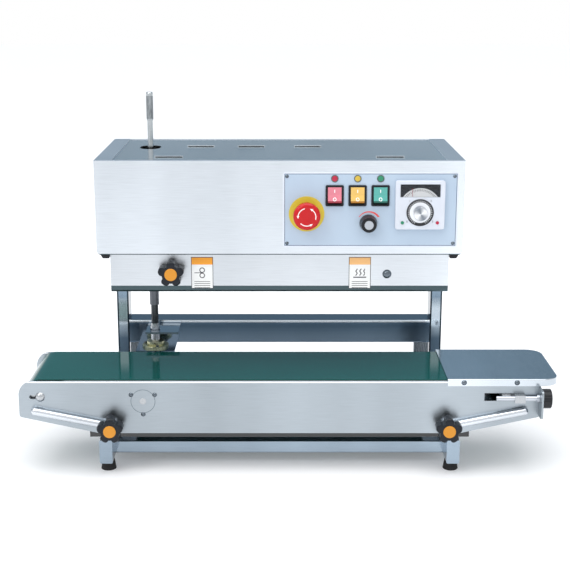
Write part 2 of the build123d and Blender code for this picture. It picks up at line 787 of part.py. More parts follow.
def gear_motor():
    bridge = gear_top + 3
    plate_top_z = bridge + motor_bracket_wall
    wall = motor_gear_radius + 6
    reach = max(wall + motor_bracket_wall, motor_side / 2)
    bracket = block(motor_x - reach, motor_x + reach, motor_y - motor_bracket_half,
                    motor_y + motor_bracket_half, bridge, plate_top_z)
    for side in (-1, 1):
        x0, x1 = sorted((motor_x + side * wall, motor_x + side * (wall + motor_bracket_wall)))
        bracket += block(x0, x1, motor_y - motor_bracket_half, motor_y + motor_bracket_half,
                         mech_top, bridge)
    bracket -= rod_z(motor_x, motor_y, bridge - 1, plate_top_z + 1, wheel_shaft + 2)
    half = motor_side / 2
    gearbox = rounded(block(motor_x - half, motor_x + half, motor_y - half, motor_y + half,
                            plate_top_z, plate_top_z + motor_gearbox), Axis.Z, 6)
    motor = rod_z(motor_x, motor_y, plate_top_z + motor_gearbox,
                  plate_top_z + motor_gearbox + motor_length, motor_radius)
    body = gearbox + motor
    body -= rod_z(motor_x, motor_y, plate_top_z - 1, plate_top_z + 12, wheel_shaft + running)
    nodes["gear_motor"] = [bracket, body]
    gear = Pos(motor_x, motor_y, gear_bottom) * toothed(motor_gear_radius, gear_thickness)
    gear += rod_z(motor_x, motor_y, gear_top, plate_top_z + 11, wheel_shaft)
    nodes["motor_gear"] = [gear]


# ---- vertical drive ------------------------------------------------------------------------
def hollow_gear():
    gear = Pos(shaft_x, shaft_y, gear_bottom) * toothed(hollow_gear_radius, gear_thickness)
    gear += rod_z(shaft_x, shaft_y, mech_top + free, gear_bottom, sleeve_radius + 3)
    gear += rod_z(shaft_x, shaft_y, sleeve_bottom, gear_bottom, sleeve_radius)
    gear -= rod_z(shaft_x, shaft_y, sleeve_bottom - 1, gear_top + 1, shaft_radius + running)
    nodes["hollow_gear"] = [gear]


def drive_shaft():
    bearing_top = bracket_bottom + bracket_thickness + bearing_flange + bearing_hub
    tip_bottom = shaft_top - shaft_tip_length
    shaft = rod_z(shaft_x, shaft_y, cross_axis_z + 7, bearing_top + free, shaft_journal)
    shaft += rod_z(shaft_x, shaft_y, bearing_top + free, shaft_step, shaft_radius)
    shaft += rod_z(shaft_x, shaft_y, shaft_step, tip_bottom, shaft_neck)
    tip = rod_z(shaft_x, shaft_y, tip_bottom, shaft_top, shaft_tip)
    tip = fillet(tip.edges().group_by(Axis.Z)[-1], 2.5)
    tip = chamfer(tip.edges().group_by(Axis.Z)[0], 0.6)
    nodes["drive_shaft"] = [shaft + tip]
    tube = rod_z(shaft_x, shaft_y, bearing_top + free, coupling_top, coupling_radius)
    tube += rod_z(shaft_x, shaft_y, bracket_top + 1, bracket_top + 6, coupling_ring)
    tube -= rod_z(shaft_x, shaft_y, bearing_top, coupling_top + 1, shaft_radius + press)
    nodes["shaft_coupling"] = [tube]
    large = bevel_radius - bevel_clearance
    cone = Pos(shaft_x, shaft_y, cross_axis_z + bevel_radius - bevel_face / 2) * Cone(
        large - bevel_face, large, bevel_face)
    cone += rod_z(shaft_x, shaft_y, cross_axis_z + bevel_radius,
                  cross_axis_z + bevel_radius + bevel_hub, bevel_hub_radius)
    cone -= rod_z(shaft_x, shaft_y, cross_axis_z, bracket_bottom, shaft_journal + press)
    nodes["shaft_bevel_gear"] = [cone]


def shaft_bracket():
    back = upright_front
    lower = block(shaft_x - bracket_left, shaft_x + bracket_right, bracket_y, back,
                  bracket_bottom, bracket_bottom + bracket_thickness)
    upper = block(shaft_x - bracket_upper_left, shaft_x + bracket_upper_right,
                  shaft_y - bracket_upper_front, back, bracket_top - bracket_thickness,
                  bracket_top)
    web = block(shaft_x - bracket_left, shaft_x + bracket_right, back - bracket_thickness, back,
                bracket_bottom, bracket_top)
    bracket = lower + upper + web
    bracket -= rod_z(shaft_x, shaft_y, bracket_bottom - 1, bracket_bottom + 5,
                     shaft_journal + 1)
    bracket -= rod_z(shaft_x, shaft_y, bracket_top - 5, bracket_top + 1, coupling_radius + 1)
    nodes["shaft_bracket"] = [bracket]
    seat = bracket_bottom + bracket_thickness
    flange = rod_z(shaft_x, shaft_y, seat, seat + bearing_flange, bearing_flange_radius)
    flange = chamfer(flange.edges().group_by(Axis.Z)[-1], 0.8)
    flange += rod_z(shaft_x, shaft_y, seat + bearing_flange,
                    seat + bearing_flange + bearing_hub, bearing_hub_radius)
    flange -= rod_z(shaft_x, shaft_y, seat - 1, seat + 20, shaft_journal + running)
    nodes["flange_bearing"] = [flange]


# ---- conveyor ------------------------------------------------------------------------------
def side_plate():
    """The front side plate with its axle slot, bearing hole, tension slot and screw tab."""
    half = plate_half_length
    points = [(-half, plate_top), (half, plate_top), (half, plate_end_bottom),
              (plate_full_half, plate_bottom), (-plate_full_half, plate_bottom),
              (-half, plate_end_bottom)]
    plate = outline_y(points, plate_front, plate_inner)
    corners = plate.edges().filter_by(Axis.Y)
    left = corners.group_by(Axis.X)[0].sort_by(Axis.Z)
    right = corners.group_by(Axis.X)[-1].sort_by(Axis.Z)
    plate = fillet([left[-1]], plate_corner)
    corners = plate.edges().filter_by(Axis.Y)
    plate = fillet(corners.group_by(Axis.X)[0].sort_by(Axis.Z)[:1], 4)
    corners = plate.edges().filter_by(Axis.Y)
    right = corners.group_by(Axis.X)[-1].sort_by(Axis.Z)
    plate = fillet([right[0]], 4)
    y0 = plate_front - 1
    y1 = plate_inner + 1
    slot_height = 2 * axle_bolt_radius + cutout_gap
    plate -= slot_y(-end_roller_x - axle_slot + slot_height / 2,
                    -end_roller_x + slot_height / 2, roller_z, y0, y1, slot_height)
    plate -= rod_y(shaft_x, cross_axis_z, y0, y1, drive_bearing_radius + press)
    plate -= block(end_roller_x - tension_slot_left, end_roller_x + block_width / 2 + 0.5,
                   y0, y1, roller_z - block_height / 2 - free / 2 - 0.1,
                   roller_z + block_height / 2 + free / 2 + 0.1)
    for x in (-knob_x, knob_x):
        plate -= rod_y(x, knob_height, y0, y1, stud_radius + cutout_gap)
    tab = block(half - plate_thickness, half, plate_front - tension_tab_reach, plate_front,
                tension_tab_bottom, tension_tab_bottom + tension_tab_height)
    tab = fillet(tab.edges().filter_by(Axis.X).group_by(Axis.Y)[0], 5)
    tab -= rod_x(tension_y, roller_z, half - 10, half + 10, tension_screw_radius + running)
    return plate + tab


def conveyor_sides():
    front = side_plate()
    nodes["side_plate_front"] = [front]
    rear = rear_side(front)
    nodes["side_plate_rear"] = [rear]
    bed = block(-end_roller_x + end_roller_radius + 12, end_roller_x - end_roller_radius - 12,
                plate_inner, 2 * belt_middle - plate_inner,
                belt_top - belt_thickness - bed_thickness, belt_top - belt_thickness)
    nodes["slider_bed"] = [bed]


def racetrack(radius, y0, y1):
    """A round-ended bar about the two end rollers."""
    loop = block(-end_roller_x, end_roller_x, y0, y1, roller_z - radius, roller_z + radius)
    for x in (-end_roller_x, end_roller_x):
        loop += rod_y(x, roller_z, y0, y1, radius)
    return loop


def belt():
    y0 = belt_middle - belt_width / 2
    y1 = belt_middle + belt_width / 2
    loop = racetrack(belt_inner + belt_thickness, y0, y1) - racetrack(belt_inner, y0 - 1, y1 + 1)
    nodes["conveyor_belt"] = [loop]


def end_roller(x):
    roller = rod_y(x, roller_z, roller_front, roller_back, end_roller_radius)
    roller = chamfer(roller.edges(), 1)
    return roller - rod_y(x, roller_z, roller_front - 1, roller_back + 1, axle_radius + running)


def rollers():
    nodes["roller_left"] = [end_roller(-end_roller_x)]
    nodes["roller_right"] = [end_roller(end_roller_x)]
    rear_inner = 2 * belt_middle - plate_inner
    axle = rod_y(-end_roller_x, roller_z, plate_inner, rear_inner, axle_radius)
    bolt = dome_y(-end_roller_x, roller_z, plate_front, axle_bolt_head, 4.5)
    bolt += rod_y(-end_roller_x, roller_z, plate_front, plate_inner, axle_bolt_radius)
    nodes["left_axle"] = [axle, bolt, rear_side(bolt)]

    roller = rod_y(shaft_x, cross_axis_z, roller_front, roller_back, drive_roller_radius)
    end = shaft_y - bevel_radius + bevel_face - 1
    roller += rod_y(shaft_x, cross_axis_z, plate_front, end, axle_radius)
    large = bevel_radius - bevel_clearance
    gear_y = shaft_y - bevel_radius
    cone = Pos(shaft_x, gear_y + bevel_face / 2, cross_axis_z) * Rot(-90, 0, 0) * Cone(
        large, large - bevel_face, bevel_face)
    cone += rod_y(shaft_x, cross_axis_z, gear_y - bevel_hub, gear_y, bevel_hub_radius)
    cone -= rod_y(shaft_x, cross_axis_z, gear_y - 20, shaft_y, axle_radius + press)
    nodes["drive_roller"] = [roller, cone]

    housing = rod_y(shaft_x, cross_axis_z, plate_front, plate_inner, drive_bearing_radius)
    housing += rod_y(shaft_x, cross_axis_z, plate_inner, plate_inner + drive_flange,
                     drive_flange_radius)
    housing -= rod_y(shaft_x, cross_axis_z, plate_front - 1, plate_inner + 10,
                     axle_radius + running)
    nodes["drive_bearings"] = [housing, rear_side(housing)]


def tension_gear():
    x0 = end_roller_x - block_width / 2
    x1 = end_roller_x + block_width / 2
    z0 = roller_z - block_height / 2
    z1 = roller_z + block_height / 2
    inner = plate_inner + free
    slide = block(x0, x1, plate_front - block_reach, inner, z0, z1)
    slide += block(x0 - 3, x1 + 3, inner, inner + 1.5, z0 - 4, z1 + 4)
    slide -= rod_x(tension_y, roller_z, x0 - 5, x1 + 5, tension_screw_radius + running)
    far = 2 * belt_middle - inner - 1.5
    axle = rod_y(end_roller_x, roller_z, inner + 1.5, far, axle_radius)
    nodes["tension_blocks"] = [slide, rear_side(slide), axle]

    tab = plate_half_length
    start = end_roller_x - tension_screw_tail
    screw = rod_x(tension_y, roller_z, start, tab + free + tension_knob_length - 4,
                  tension_screw_radius)
    screw += rod_x(tension_y, roller_z, tab - plate_thickness - free - 4,
                   tab - plate_thickness - free, tension_screw_radius + 2.5)
    knob = rod_x(tension_y, roller_z, tab + free, tab + free + tension_knob_length,
                 tension_knob_radius)
    knob = fillet(knob.edges().group_by(Axis.X)[-1], 2)
    for notch in range(12):
        cut = rod_x(tension_y, roller_z + tension_knob_radius + 1, tab, tab + 30, 2)
        knob -= cut.rotate(Axis((0, tension_y, roller_z), (1, 0, 0)), 30 * notch)
    knob -= rod_x(tension_y, roller_z, tab - 1, tab + free + tension_knob_length - 4,
                  tension_screw_radius)
    nodes["tension_screw_front"] = [screw, knob]
    nodes["tension_screw_rear"] = [rear_side(screw), rear_side(knob)]


def feed_tray():
    tray_bottom = belt_top + tray_gap
    top = tray_bottom + tray_sheet
    y0 = plate_front - tray_sheet
    y1 = 2 * belt_middle - y0
    outer = block(tray_left, tray_right, y0, y1, top - tray_rim, top)
    outer = fillet(outer.edges().filter_by(Axis.Z).group_by(Axis.X)[-1], tray_corner)
    outer = fillet(outer.faces().sort_by(Axis.Z)[-1].edges().sort_by(Axis.X)[1:], 1.2)
    inner = block(tray_left - 1, tray_right - tray_sheet, y0 + tray_sheet, y1 - tray_sheet,
                  top - tray_rim - 1, tray_bottom)
    inner = fillet(inner.edges().filter_by(Axis.Z).group_by(Axis.X)[-1],
                   tray_corner - tray_sheet)
    nodes["feed_tray"] = [outer - inner]


def conveyor_screws():
    """Bearing housing screws, tray screws, knob studs and flange bearing screws."""
    pieces = []
    for angle in (30, 150, 270):
        x = shaft_x + drive_screw_circle * math.cos(math.radians(angle))
        z = cross_axis_z + drive_screw_circle * math.sin(math.radians(angle))
        head = dome_y(x, z, plate_front, 3.6, 2.4)
        pieces += [head, rear_side(head)]
    tray_front = plate_front - tray_sheet
    for x in tray_screws:
        z = belt_top + tray_gap + tray_sheet - tray_screw_drop
        head = dome_y(x, z, tray_front, 4.2, 2.6)
        pieces += [head, rear_side(head)]
    for x in (-knob_x, knob_x):
        end = plate_front - brace_eye_thickness - star_hub - 12
        pieces.append(rod_y(x, knob_height, end, plate_inner, stud_radius))
    seat = bracket_bottom + bracket_thickness + bearing_flange
    for angle in (45, 165, 285):
        reach = (bearing_flange_radius + bearing_hub_radius) / 2
        x = shaft_x + reach * math.cos(math.radians(angle))
        y = shaft_y + reach * math.sin(math.radians(angle))
        pieces.append(rod_z(x, y, seat, seat + 2.5, 2.6))
    nodes["conveyor_screws"] = pieces


def brace_rods():
    centre = plate_front - brace_radius
    run = brace_top_x - knob_x
    rise = brace_top_z - knob_height
    length = math.hypot(run, rise)
    tilt = math.degrees(math.atan2(rise, run))
    rod = Pos(length / 2, 0, 0) * Rot(0, 90, 0) * Cylinder(brace_radius, length)
    rod += Pos(length, 0, 0) * Sphere(brace_radius)
    rod = Pos(knob_x, centre, knob_height) * Rot(0, -tilt, 0) * rod
    eye_front = plate_front - brace_eye_thickness
    clear = rod_y(knob_x, knob_height, centre - 20, eye_front, brace_eye)
    rod = rod - clear + rod_y(knob_x, knob_height, eye_front, plate_front, brace_eye)
    rod -= rod_y(knob_x, knob_height, centre - 20, plate_front + 1, stud_radius + cutout_gap)
    nodes["brace_rods"] = [rod, other_side(rod)]


def carriage():
    half = runner_x + runner_width / 2 + bar_overhang
    bar = block(-half, half, plate_inner, plate_inner + bar_depth, bar_bottom, bar_top)
    nodes["support_bar"] = [rounded(bar, Axis.X, 3)]
    arm_end = upright_front + 11
    arm = block(arm_in, arm_out, plate_inner + bar_depth, arm_end,
                plate_bottom - arm_thickness, plate_bottom)
    arm += block(arm_in, arm_out, arm_end - arm_thickness, arm_end, plate_bottom, beam_bottom)
    nodes["support_arms"] = [arm, other_side(arm)]
    beam_half = upright_in - free
    outer = block(-beam_half, beam_half, upright_front, beam_back, beam_bottom, beam_top)
    inner = block(-beam_half - 1, beam_half + 1, upright_front + tube_wall,
                  beam_back - tube_wall, beam_bottom + tube_wall, beam_top - tube_wall)
    clamp = block(upright_out - clamp_width, upright_out, beam_back, beam_back + clamp_thickness,
                  (beam_bottom + beam_top - clamp_height) / 2,
                  (beam_bottom + beam_top + clamp_height) / 2)
    nodes["rear_beam"] = [rounded(outer, Axis.X, 2.5) - inner, clamp, other_side(clamp)]
    back = plate_front - brace_eye_thickness - free
    nodes["star_knob_left"] = star_knob(-knob_x, knob_height, back)
    nodes["star_knob_right"] = star_knob(knob_x, knob_height, back)


def build():
    base_frame()
    feet()
    uprights()
    housing_shell()
    top_cover()
    rear_panel()
    power_inlet()
    fan()
    control_plate()
    head_screws()
    emergency_stop()
    rocker_switches()
    knobs()
    mechanism_plate()
    guards()
    seal_bands()
    mechanism()
    gear_motor()
    hollow_gear()
    drive_shaft()
    shaft_bracket()
    conveyor_sides()
    belt()
    rollers()
    tension_gear()
    feed_tray()
    conveyor_screws()
    brace_rods()
    carriage()


def whole_box():
    """Lowest and highest corner of the machine as drawn."""
    boxes = [solid.bounding_box() for solids in nodes.values() for solid in solids]
    low = [min(getattr(box.min, axis) for box in boxes) for axis in ("X", "Y", "Z")]
    high = [max(getattr(box.max, axis) for box in boxes) for axis in ("X", "Y", "Z")]
    return low, high


build()
low, high = whole_box()
shift = (-(low[0] + high[0]) / 2, -(low[1] + high[1]) / 2, -low[2])

os.makedirs("parts", exist_ok=True)
for name, solids in nodes.items():
    placed = [Pos(*shift) * solid for solid in solids]
    flat = [piece for solid in placed for piece in solid.solids()]
    export_step(Compound(children=flat) if len(flat) > 1 else flat[0], f"parts/{name}.step")
print(len(nodes), "nodes, box", [round(high[i] - low[i], 2) for i in range(3)],
      "shift", [round(value, 3) for value in shift])
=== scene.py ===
# %% [markdown]
# # A continuous band sealer
# The machine stands on a tube frame.  A sealing head hangs over a short belt conveyor, and the
# conveyor can be raised on the rear uprights.  Every part that moves or carries load arrives
# with the frame; this lesson gives each one its finish and adds the thin things that a
# drawing office would call trim: printed scales, marker lenses, labels and a few plastic bits.

# %% Load the frame
import math

import bmesh
import bpy
from mathutils import Matrix, Vector


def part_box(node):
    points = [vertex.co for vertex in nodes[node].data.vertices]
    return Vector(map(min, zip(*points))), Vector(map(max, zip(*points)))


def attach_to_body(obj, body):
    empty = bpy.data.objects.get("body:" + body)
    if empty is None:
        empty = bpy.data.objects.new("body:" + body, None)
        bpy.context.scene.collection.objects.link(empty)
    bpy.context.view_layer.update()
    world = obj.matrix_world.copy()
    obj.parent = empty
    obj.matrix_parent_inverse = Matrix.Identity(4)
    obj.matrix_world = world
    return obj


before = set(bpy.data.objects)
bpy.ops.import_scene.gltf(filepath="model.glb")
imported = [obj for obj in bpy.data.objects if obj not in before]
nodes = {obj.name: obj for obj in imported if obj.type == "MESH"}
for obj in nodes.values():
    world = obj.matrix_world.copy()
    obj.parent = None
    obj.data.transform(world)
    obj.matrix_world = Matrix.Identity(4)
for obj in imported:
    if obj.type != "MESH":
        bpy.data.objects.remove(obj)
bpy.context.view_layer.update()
MM = 0.001
TURN = 2 * math.pi
print("loaded", len(nodes), "nodes")


def centre(node):
    """The middle of a node's box."""
    low, high = (Vector(painted_dark_edges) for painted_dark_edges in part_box(node))
    return (low + high) / 2


# %% [markdown]
# ## Arithmetic on sockets
# A pattern such as a ring of ticks is a formula.  Wrapping a socket in a small class lets the
# formula be written as one Python expression, and each operator adds the Math node it needs.
# A comparison gives 1 or 0, so * reads as "and" between two of them, and | as "or".

# %% Signal
class Signal:
    """A number socket that can be used in Python expressions."""

    def __init__(self, finish, socket):
        self.finish = finish
        self.socket = socket

    def math(self, operation, *others):
        values = dict(enumerate((self,) + others))
        return self.finish.node("ShaderNodeMath", {"operation": operation}, values)

    def __add__(self, other):
        return self.math("ADD", other)

    def __sub__(self, other):
        return self.math("SUBTRACT", other)

    def __mul__(self, other):
        return self.math("MULTIPLY", other)

    def __lt__(self, other):
        return self.math("LESS_THAN", other)

    def __gt__(self, other):
        return self.math("GREATER_THAN", other)

    def __or__(self, other):
        return self.math("MAXIMUM", other)

    def __abs__(self):
        return self.math("ABSOLUTE")


# %% [markdown]
# ## Finishes
# A finish is one material.  It starts from the Principled shader with its plain numbers set on
# the shader's own sockets, and only what changes over the surface is linked.

# %% Finish
WHITE = (1.0, 1.0, 1.0, 1.0)
EVEN = (1.0, 1.0, 1.0)
COAT_ROUGHNESS = 0.06
METAL_SPECULAR = 0.5
PLASTIC_SPECULAR = 0.3


def shaded(color, factor=1.0):
    """A colour with its three channels scaled, as four numbers."""
    return (*[channel * factor for channel in color], 1.0)


def distance(across, up):
    """How far a point is from the origin, from its two coordinates."""
    return (across * across + up * up).math("SQRT")


class Finish:
    """One material with a method that adds any node."""

    def __init__(self, name, color, roughness, metallic=0.0, coat=0.0, alpha=1.0):
        self.name = name
        self.material = bpy.data.materials.new(name)
        self.material.use_nodes = True
        self.tree = self.material.node_tree
        self.shader = self.tree.nodes["Principled BSDF"]
        for socket, value in (("Base Color", shaded(color)), ("Roughness", roughness),
                              ("Metallic", metallic), ("Alpha", alpha), ("Coat Weight", coat),
                              ("Coat Roughness", COAT_ROUGHNESS)):
            self.link(socket, value)
        self.link("Specular IOR Level", METAL_SPECULAR if metallic else PLASTIC_SPECULAR)

    def plug(self, target, value):
        """Link a Signal to a socket, or set a plain value on it."""
        if isinstance(value, Signal):
            self.tree.links.new(value.socket, target)
        else:
            target.default_value = value

    def node(self, kind, settings=None, values=None, output=0):
        """A new node with its settings and sockets filled, as the Signal of one output."""
        node = self.tree.nodes.new(kind)
        for key, setting in (settings or {}).items():
            setattr(node, key, setting)
        for key, value in (values or {}).items():
            self.plug(node.inputs[key], value)
        return Signal(self, node.outputs[output])

    def link(self, name, value):
        """A number, a colour or a Signal for one of the shader's sockets."""
        self.plug(self.shader.inputs[name], value)

    def base_color(self):
        """What is linked to the base colour so far."""
        return Signal(self, self.shader.inputs["Base Color"].links[0].from_socket)

    def place(self):
        """Object coordinates as a vector and as X, Y and Z numbers."""
        vector = self.node("ShaderNodeTexCoord", output="Object")
        split = self.tree.nodes.new("ShaderNodeSeparateXYZ")
        self.tree.links.new(vector.socket, split.inputs[0])
        return vector, *[Signal(self, split.outputs[i]) for i in range(3)]

    def around(self, middle_x, middle_z):
        """X and Z from a point, and the distance from it, seen from the front."""
        _, x, _, z = self.place()
        across = x - middle_x
        up = z - middle_z
        return across, up, distance(across, up)

    def ramp(self, value, start, end, low=0.0, high=1.0):
        """Low before the start, high after the end, and a straight line between."""
        return self.node("ShaderNodeMapRange", None, {0: value, 1: start, 2: end, 3: low, 4: high})

    def mix(self, factor, first, second):
        """A colour between two colours."""
        return self.node("ShaderNodeMix", {"data_type": "RGBA"},
                         {0: factor, 6: first, 7: second}, output=2)

    def noise(self, vector, scale, stretch=EVEN, detail=3.0):
        """Noise from coordinates stretched by three factors, as a number about 0.5."""
        mapped = self.node("ShaderNodeMapping", None, {"Vector": vector, "Scale": stretch})
        return self.node("ShaderNodeTexNoise", None,
                         {"Vector": mapped, "Scale": scale, "Detail": detail})

    def bump(self, height, strength, depth):
        """Relief from a number, at most so many metres deep."""
        self.link("Normal", self.node("ShaderNodeBump", None, {
            "Strength": strength, "Distance": depth, "Height": height}))


# %% [markdown]
# ## Stainless sheet
# The casing, guards and side plates are brushed stainless: the abrasive belt leaves long fine
# scratches along the sheet.  Noise that is stretched thirty times along one axis gives those
# scratches, and slower noises give the faint clouds and bands of a wiped surface.

# %% Brushed and polished steel
GRAIN = {"X": (0.03, 1.0, 1.0), "Y": (1.0, 0.03, 1.0), "Z": (1.0, 1.0, 0.03)}


def brushed_steel(name, color, roughness, grain="X", relief=0.25, coat=0.0):
    """Steel sheet with a fine grain along one axis."""
    finish = Finish(name, color, roughness, metallic=1.0, coat=coat)
    vector, _, _, _ = finish.place()
    scratches = finish.noise(vector, 900.0, GRAIN[grain], 4.0)
    clouds = finish.noise(vector, 12.0)
    bands = finish.noise(vector, 6.0, (1.0, 0.25, 0.1), 2.0)
    tone = scratches * 0.5 + clouds * 0.2 + bands * 1.4 - 0.5
    finish.link("Base Color", finish.mix(tone, shaded(color, 0.62), shaded(color)))
    finish.link("Roughness", scratches * 0.12 + clouds * 0.10 + (roughness - 0.11))
    finish.bump(scratches, relief, 0.06 * MM)
    return finish


guard_steel = brushed_steel("guard_steel", (0.84, 0.88, 0.92), 0.34)
cover_steel = brushed_steel("cover_steel", (0.80, 0.86, 0.90), 0.22, coat=0.2)
polished_steel = brushed_steel("polished_steel", (0.34, 0.42, 0.50), 0.12, "X", 0.1)
polished_rod = brushed_steel("polished_rod", (0.78, 0.82, 0.87), 0.16, "X", 0.1)
tray_steel = brushed_steel("tray_steel", (0.74, 0.80, 0.86), 0.17, "Y", 0.15)
turned_steel = brushed_steel("turned_steel", (0.56, 0.58, 0.60), 0.28, "Z", 0.2)
dark_steel = brushed_steel("dark_steel", (0.16, 0.17, 0.19), 0.34, "Z", 0.3)
yellow_zinc = brushed_steel("yellow_zinc", (0.56, 0.56, 0.36), 0.28, "Z", 0.2)
screw_steel = brushed_steel("screw_steel", (0.17, 0.20, 0.23), 0.25, "Z", 0.2)
cast_metal = Finish("cast_metal", (0.55, 0.56, 0.57), 0.5, metallic=1.0)
cast_vector, _, _, _ = cast_metal.place()
cast_grain = cast_metal.noise(cast_vector, 700.0)
cast_metal.link("Roughness", cast_grain * 0.3 + 0.35)
cast_metal.bump(cast_grain, 0.4, 0.2 * MM)


# %% Painted reflections on the tubes
UPRIGHT_WIDTH = 20.0 * MM
# Dark colours of the painted reflections on the tubes.
UPRIGHT_PAINTED_DARK_REFLECTION = (0.20, 0.27, 0.34)
BEAM_PAINTED_DARK_REFLECTION = (0.13, 0.19, 0.25)


def uprights_with_painted_reflection():
    """Painted reflections: a bright stretch at mid height, and dark painted edges down both sides
    of each tube.
    """
    finish = brushed_steel("upright_painted_reflection", UPRIGHT_PAINTED_DARK_REFLECTION, 0.12, "Z", 0.1)
    _, x, _, z = finish.place()
    low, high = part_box("uprights")
    middle = (low[0] + high[0]) / 2
    outer = (high[0] - low[0]) / 2
    across = abs(x - middle)
    # Painted reflection: the stretch between these heights is painted bright, and the tube's edges
    # are painted dark.
    rise = finish.ramp(z, 145.0 * MM, 170.0 * MM)
    fall = finish.ramp(z, 218.0 * MM, 198.0 * MM)
    steel = finish.mix(rise * fall, shaded(UPRIGHT_PAINTED_DARK_REFLECTION), (0.80, 0.88, 0.93, 1.0))
    painted_dark_edges = (across > outer - 3.0 * MM) | (across < outer - UPRIGHT_WIDTH + 2.5 * MM)
    finish.link("Base Color", finish.mix(painted_dark_edges, steel, (0.04, 0.06, 0.08, 1.0)))
    return finish


def beam_with_painted_reflection():
    """A painted highlight line under the top front edge, and a painted reflection that grows
    lighter downwards.
    """
    finish = brushed_steel("beam_painted_reflection", BEAM_PAINTED_DARK_REFLECTION, 0.14, "X", 0.1)
    _, _, y, z = finish.place()
    low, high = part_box("rear_beam")
    # Painted highlight: a bright line along the top front edge. Below it, painted shade that
    # lightens downwards.
    line = (z > high[2] - 4.5 * MM) * (y < low[1] + 1.0 * MM)
    lower = finish.ramp(z, high[2] - 10.0 * MM, low[2])
    steel = finish.mix(lower, shaded(BEAM_PAINTED_DARK_REFLECTION), (0.34, 0.42, 0.50, 1.0))
    finish.link("Base Color", finish.mix(line, steel, (0.90, 0.95, 0.98, 1.0)))
    return finish


upright_painted_reflection = uprights_with_painted_reflection()
beam_painted_reflection = beam_with_painted_reflection()


# %% Sheets with painted shade and painted highlights along their edges
def steel_with_painted_edge_light_and_shade(name, node, color, roughness, low=None, high=None):
    """Brushed steel with another colour up to a height above its lower edge or below its top."""
    finish = brushed_steel(name, color, roughness)
    _, _, _, z = finish.place()
    bottom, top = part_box(node)
    tone = finish.base_color()
    if low:
        tone = finish.mix(z < bottom[2] + low[0], tone, low[1])
    if high:
        tone = finish.mix(z > top[2] - high[0], tone, high[1])
    finish.link("Base Color", tone)
    return finish


# One dark colour for the painted shade along the lower edges and for the seam round the bearing.
PAINTED_SHADE_AND_SEAM_DARK = (0.07, 0.10, 0.11, 1.0)
# Painted shade: a dark strip along the casing's lower edge, where it meets the guard; along its
# top, a slightly darker line.
casing_steel = steel_with_painted_edge_light_and_shade("casing_steel", "housing_shell", (0.84, 0.89, 0.94), 0.36,
                           (1.6 * MM, PAINTED_SHADE_AND_SEAM_DARK), (0.4 * MM, (0.62, 0.68, 0.74, 1.0)))
# Painted shade and a painted reflection of the belt: a dark band along the front guard's lower
# hem.
front_guard_steel = steel_with_painted_edge_light_and_shade("front_guard_steel", "front_guard", (0.76, 0.80, 0.84), 0.34,
                                (10.5 * MM, PAINTED_SHADE_AND_SEAM_DARK))
# Painted highlight: a bright strip along the side plate's top edge.
plate_steel = steel_with_painted_edge_light_and_shade("side_plate_steel", "side_plate_front", (0.44, 0.49, 0.53), 0.32,
                          high=(2.2 * MM, (0.95, 0.97, 1.0, 1.0)))
SEAM_RADIUS = 18.5 * MM
bearing = centre("drive_bearings")
_, _, seam_radius = plate_steel.around(bearing.x, bearing.z)
seam = abs(seam_radius - SEAM_RADIUS) < 0.45 * MM
plate_steel.link("Base Color", plate_steel.mix(seam * 0.7, plate_steel.base_color(), PAINTED_SHADE_AND_SEAM_DARK))


# %% Spun knob faces with painted highlights
def spun_metal_with_painted_highlight(name, node, phase):
    """A turned face, with painted highlights in two opposite wedges where its grooves would gather
    the light.
    """
    finish = Finish(name, (0.7, 0.72, 0.75), 0.25, metallic=1.0)
    middle = centre(node)
    across, up, radius = finish.around(middle.x, middle.z)
    # Painted highlight and painted shade: light and dark wedges that turn with the angle.
    wedge = (up.math("ARCTAN2", across) * 2.0 + phase).math("SINE") * 0.5 + 0.5
    grooves = finish.noise(radius, 900.0)
    tone = wedge * 0.75 + grooves * 0.3
    finish.link("Base Color", finish.mix(tone, (0.10, 0.13, 0.17, 1.0), (0.98, 0.99, 1.0, 1.0)))
    return finish


dial_metal = spun_metal_with_painted_highlight("dial_metal", "controller_knob", 0.6)
print("steel finishes made")


# %% [markdown]
# ## Plastics, rubber and paint
# Moulded parts have a very fine spark-eroded texture, so each gets a little noise in its
# roughness and a shallow bump.  The belt is glossy PVC on cloth: its top mirrors what stands
# over it, and the weave beneath shows only as a faint waviness.

# %% Moulded plastic
def moulded(name, color, roughness, coat=0.0, grain=0.15):
    """Plastic or rubber with the fine texture of its mould."""
    finish = Finish(name, color, roughness, coat=coat)
    vector, _, _, _ = finish.place()
    speckle = finish.noise(vector, 1400.0, detail=2.0)
    clouds = finish.noise(vector, 30.0)
    finish.link("Base Color", finish.mix(clouds, shaded(color, 0.8), shaded(color)))
    finish.link("Roughness", speckle * 0.14 + (roughness - 0.07))
    finish.bump(speckle, grain, 0.05 * MM)
    return finish


black_plastic = moulded("black_plastic", (0.008, 0.010, 0.014), 0.40)
foot_rubber = moulded("foot_rubber", (0.012, 0.012, 0.013), 0.62, grain=0.5)
white_plastic = moulded("white_plastic", (0.72, 0.76, 0.84), 0.30, coat=0.3)
bar_paint = moulded("bar_paint", (0.006, 0.007, 0.009), 0.10, coat=1.0, grain=0.05)
band_cloth = moulded("band_cloth", (0.30, 0.17, 0.08), 0.45, grain=0.8)
red_lens = moulded("red_lens", (0.50, 0.02, 0.06), 0.15, coat=0.3, grain=0.05)
amber_lens = moulded("amber_lens", (0.66, 0.46, 0.06), 0.15, coat=0.3, grain=0.05)
green_lens = moulded("green_lens", (0.03, 0.26, 0.14), 0.15, coat=0.3, grain=0.05)
marker_rim = moulded("marker_rim", (0.10, 0.13, 0.12), 0.3)
stop_yellow = moulded("stop_yellow", (0.72, 0.56, 0.05), 0.30, coat=0.1)

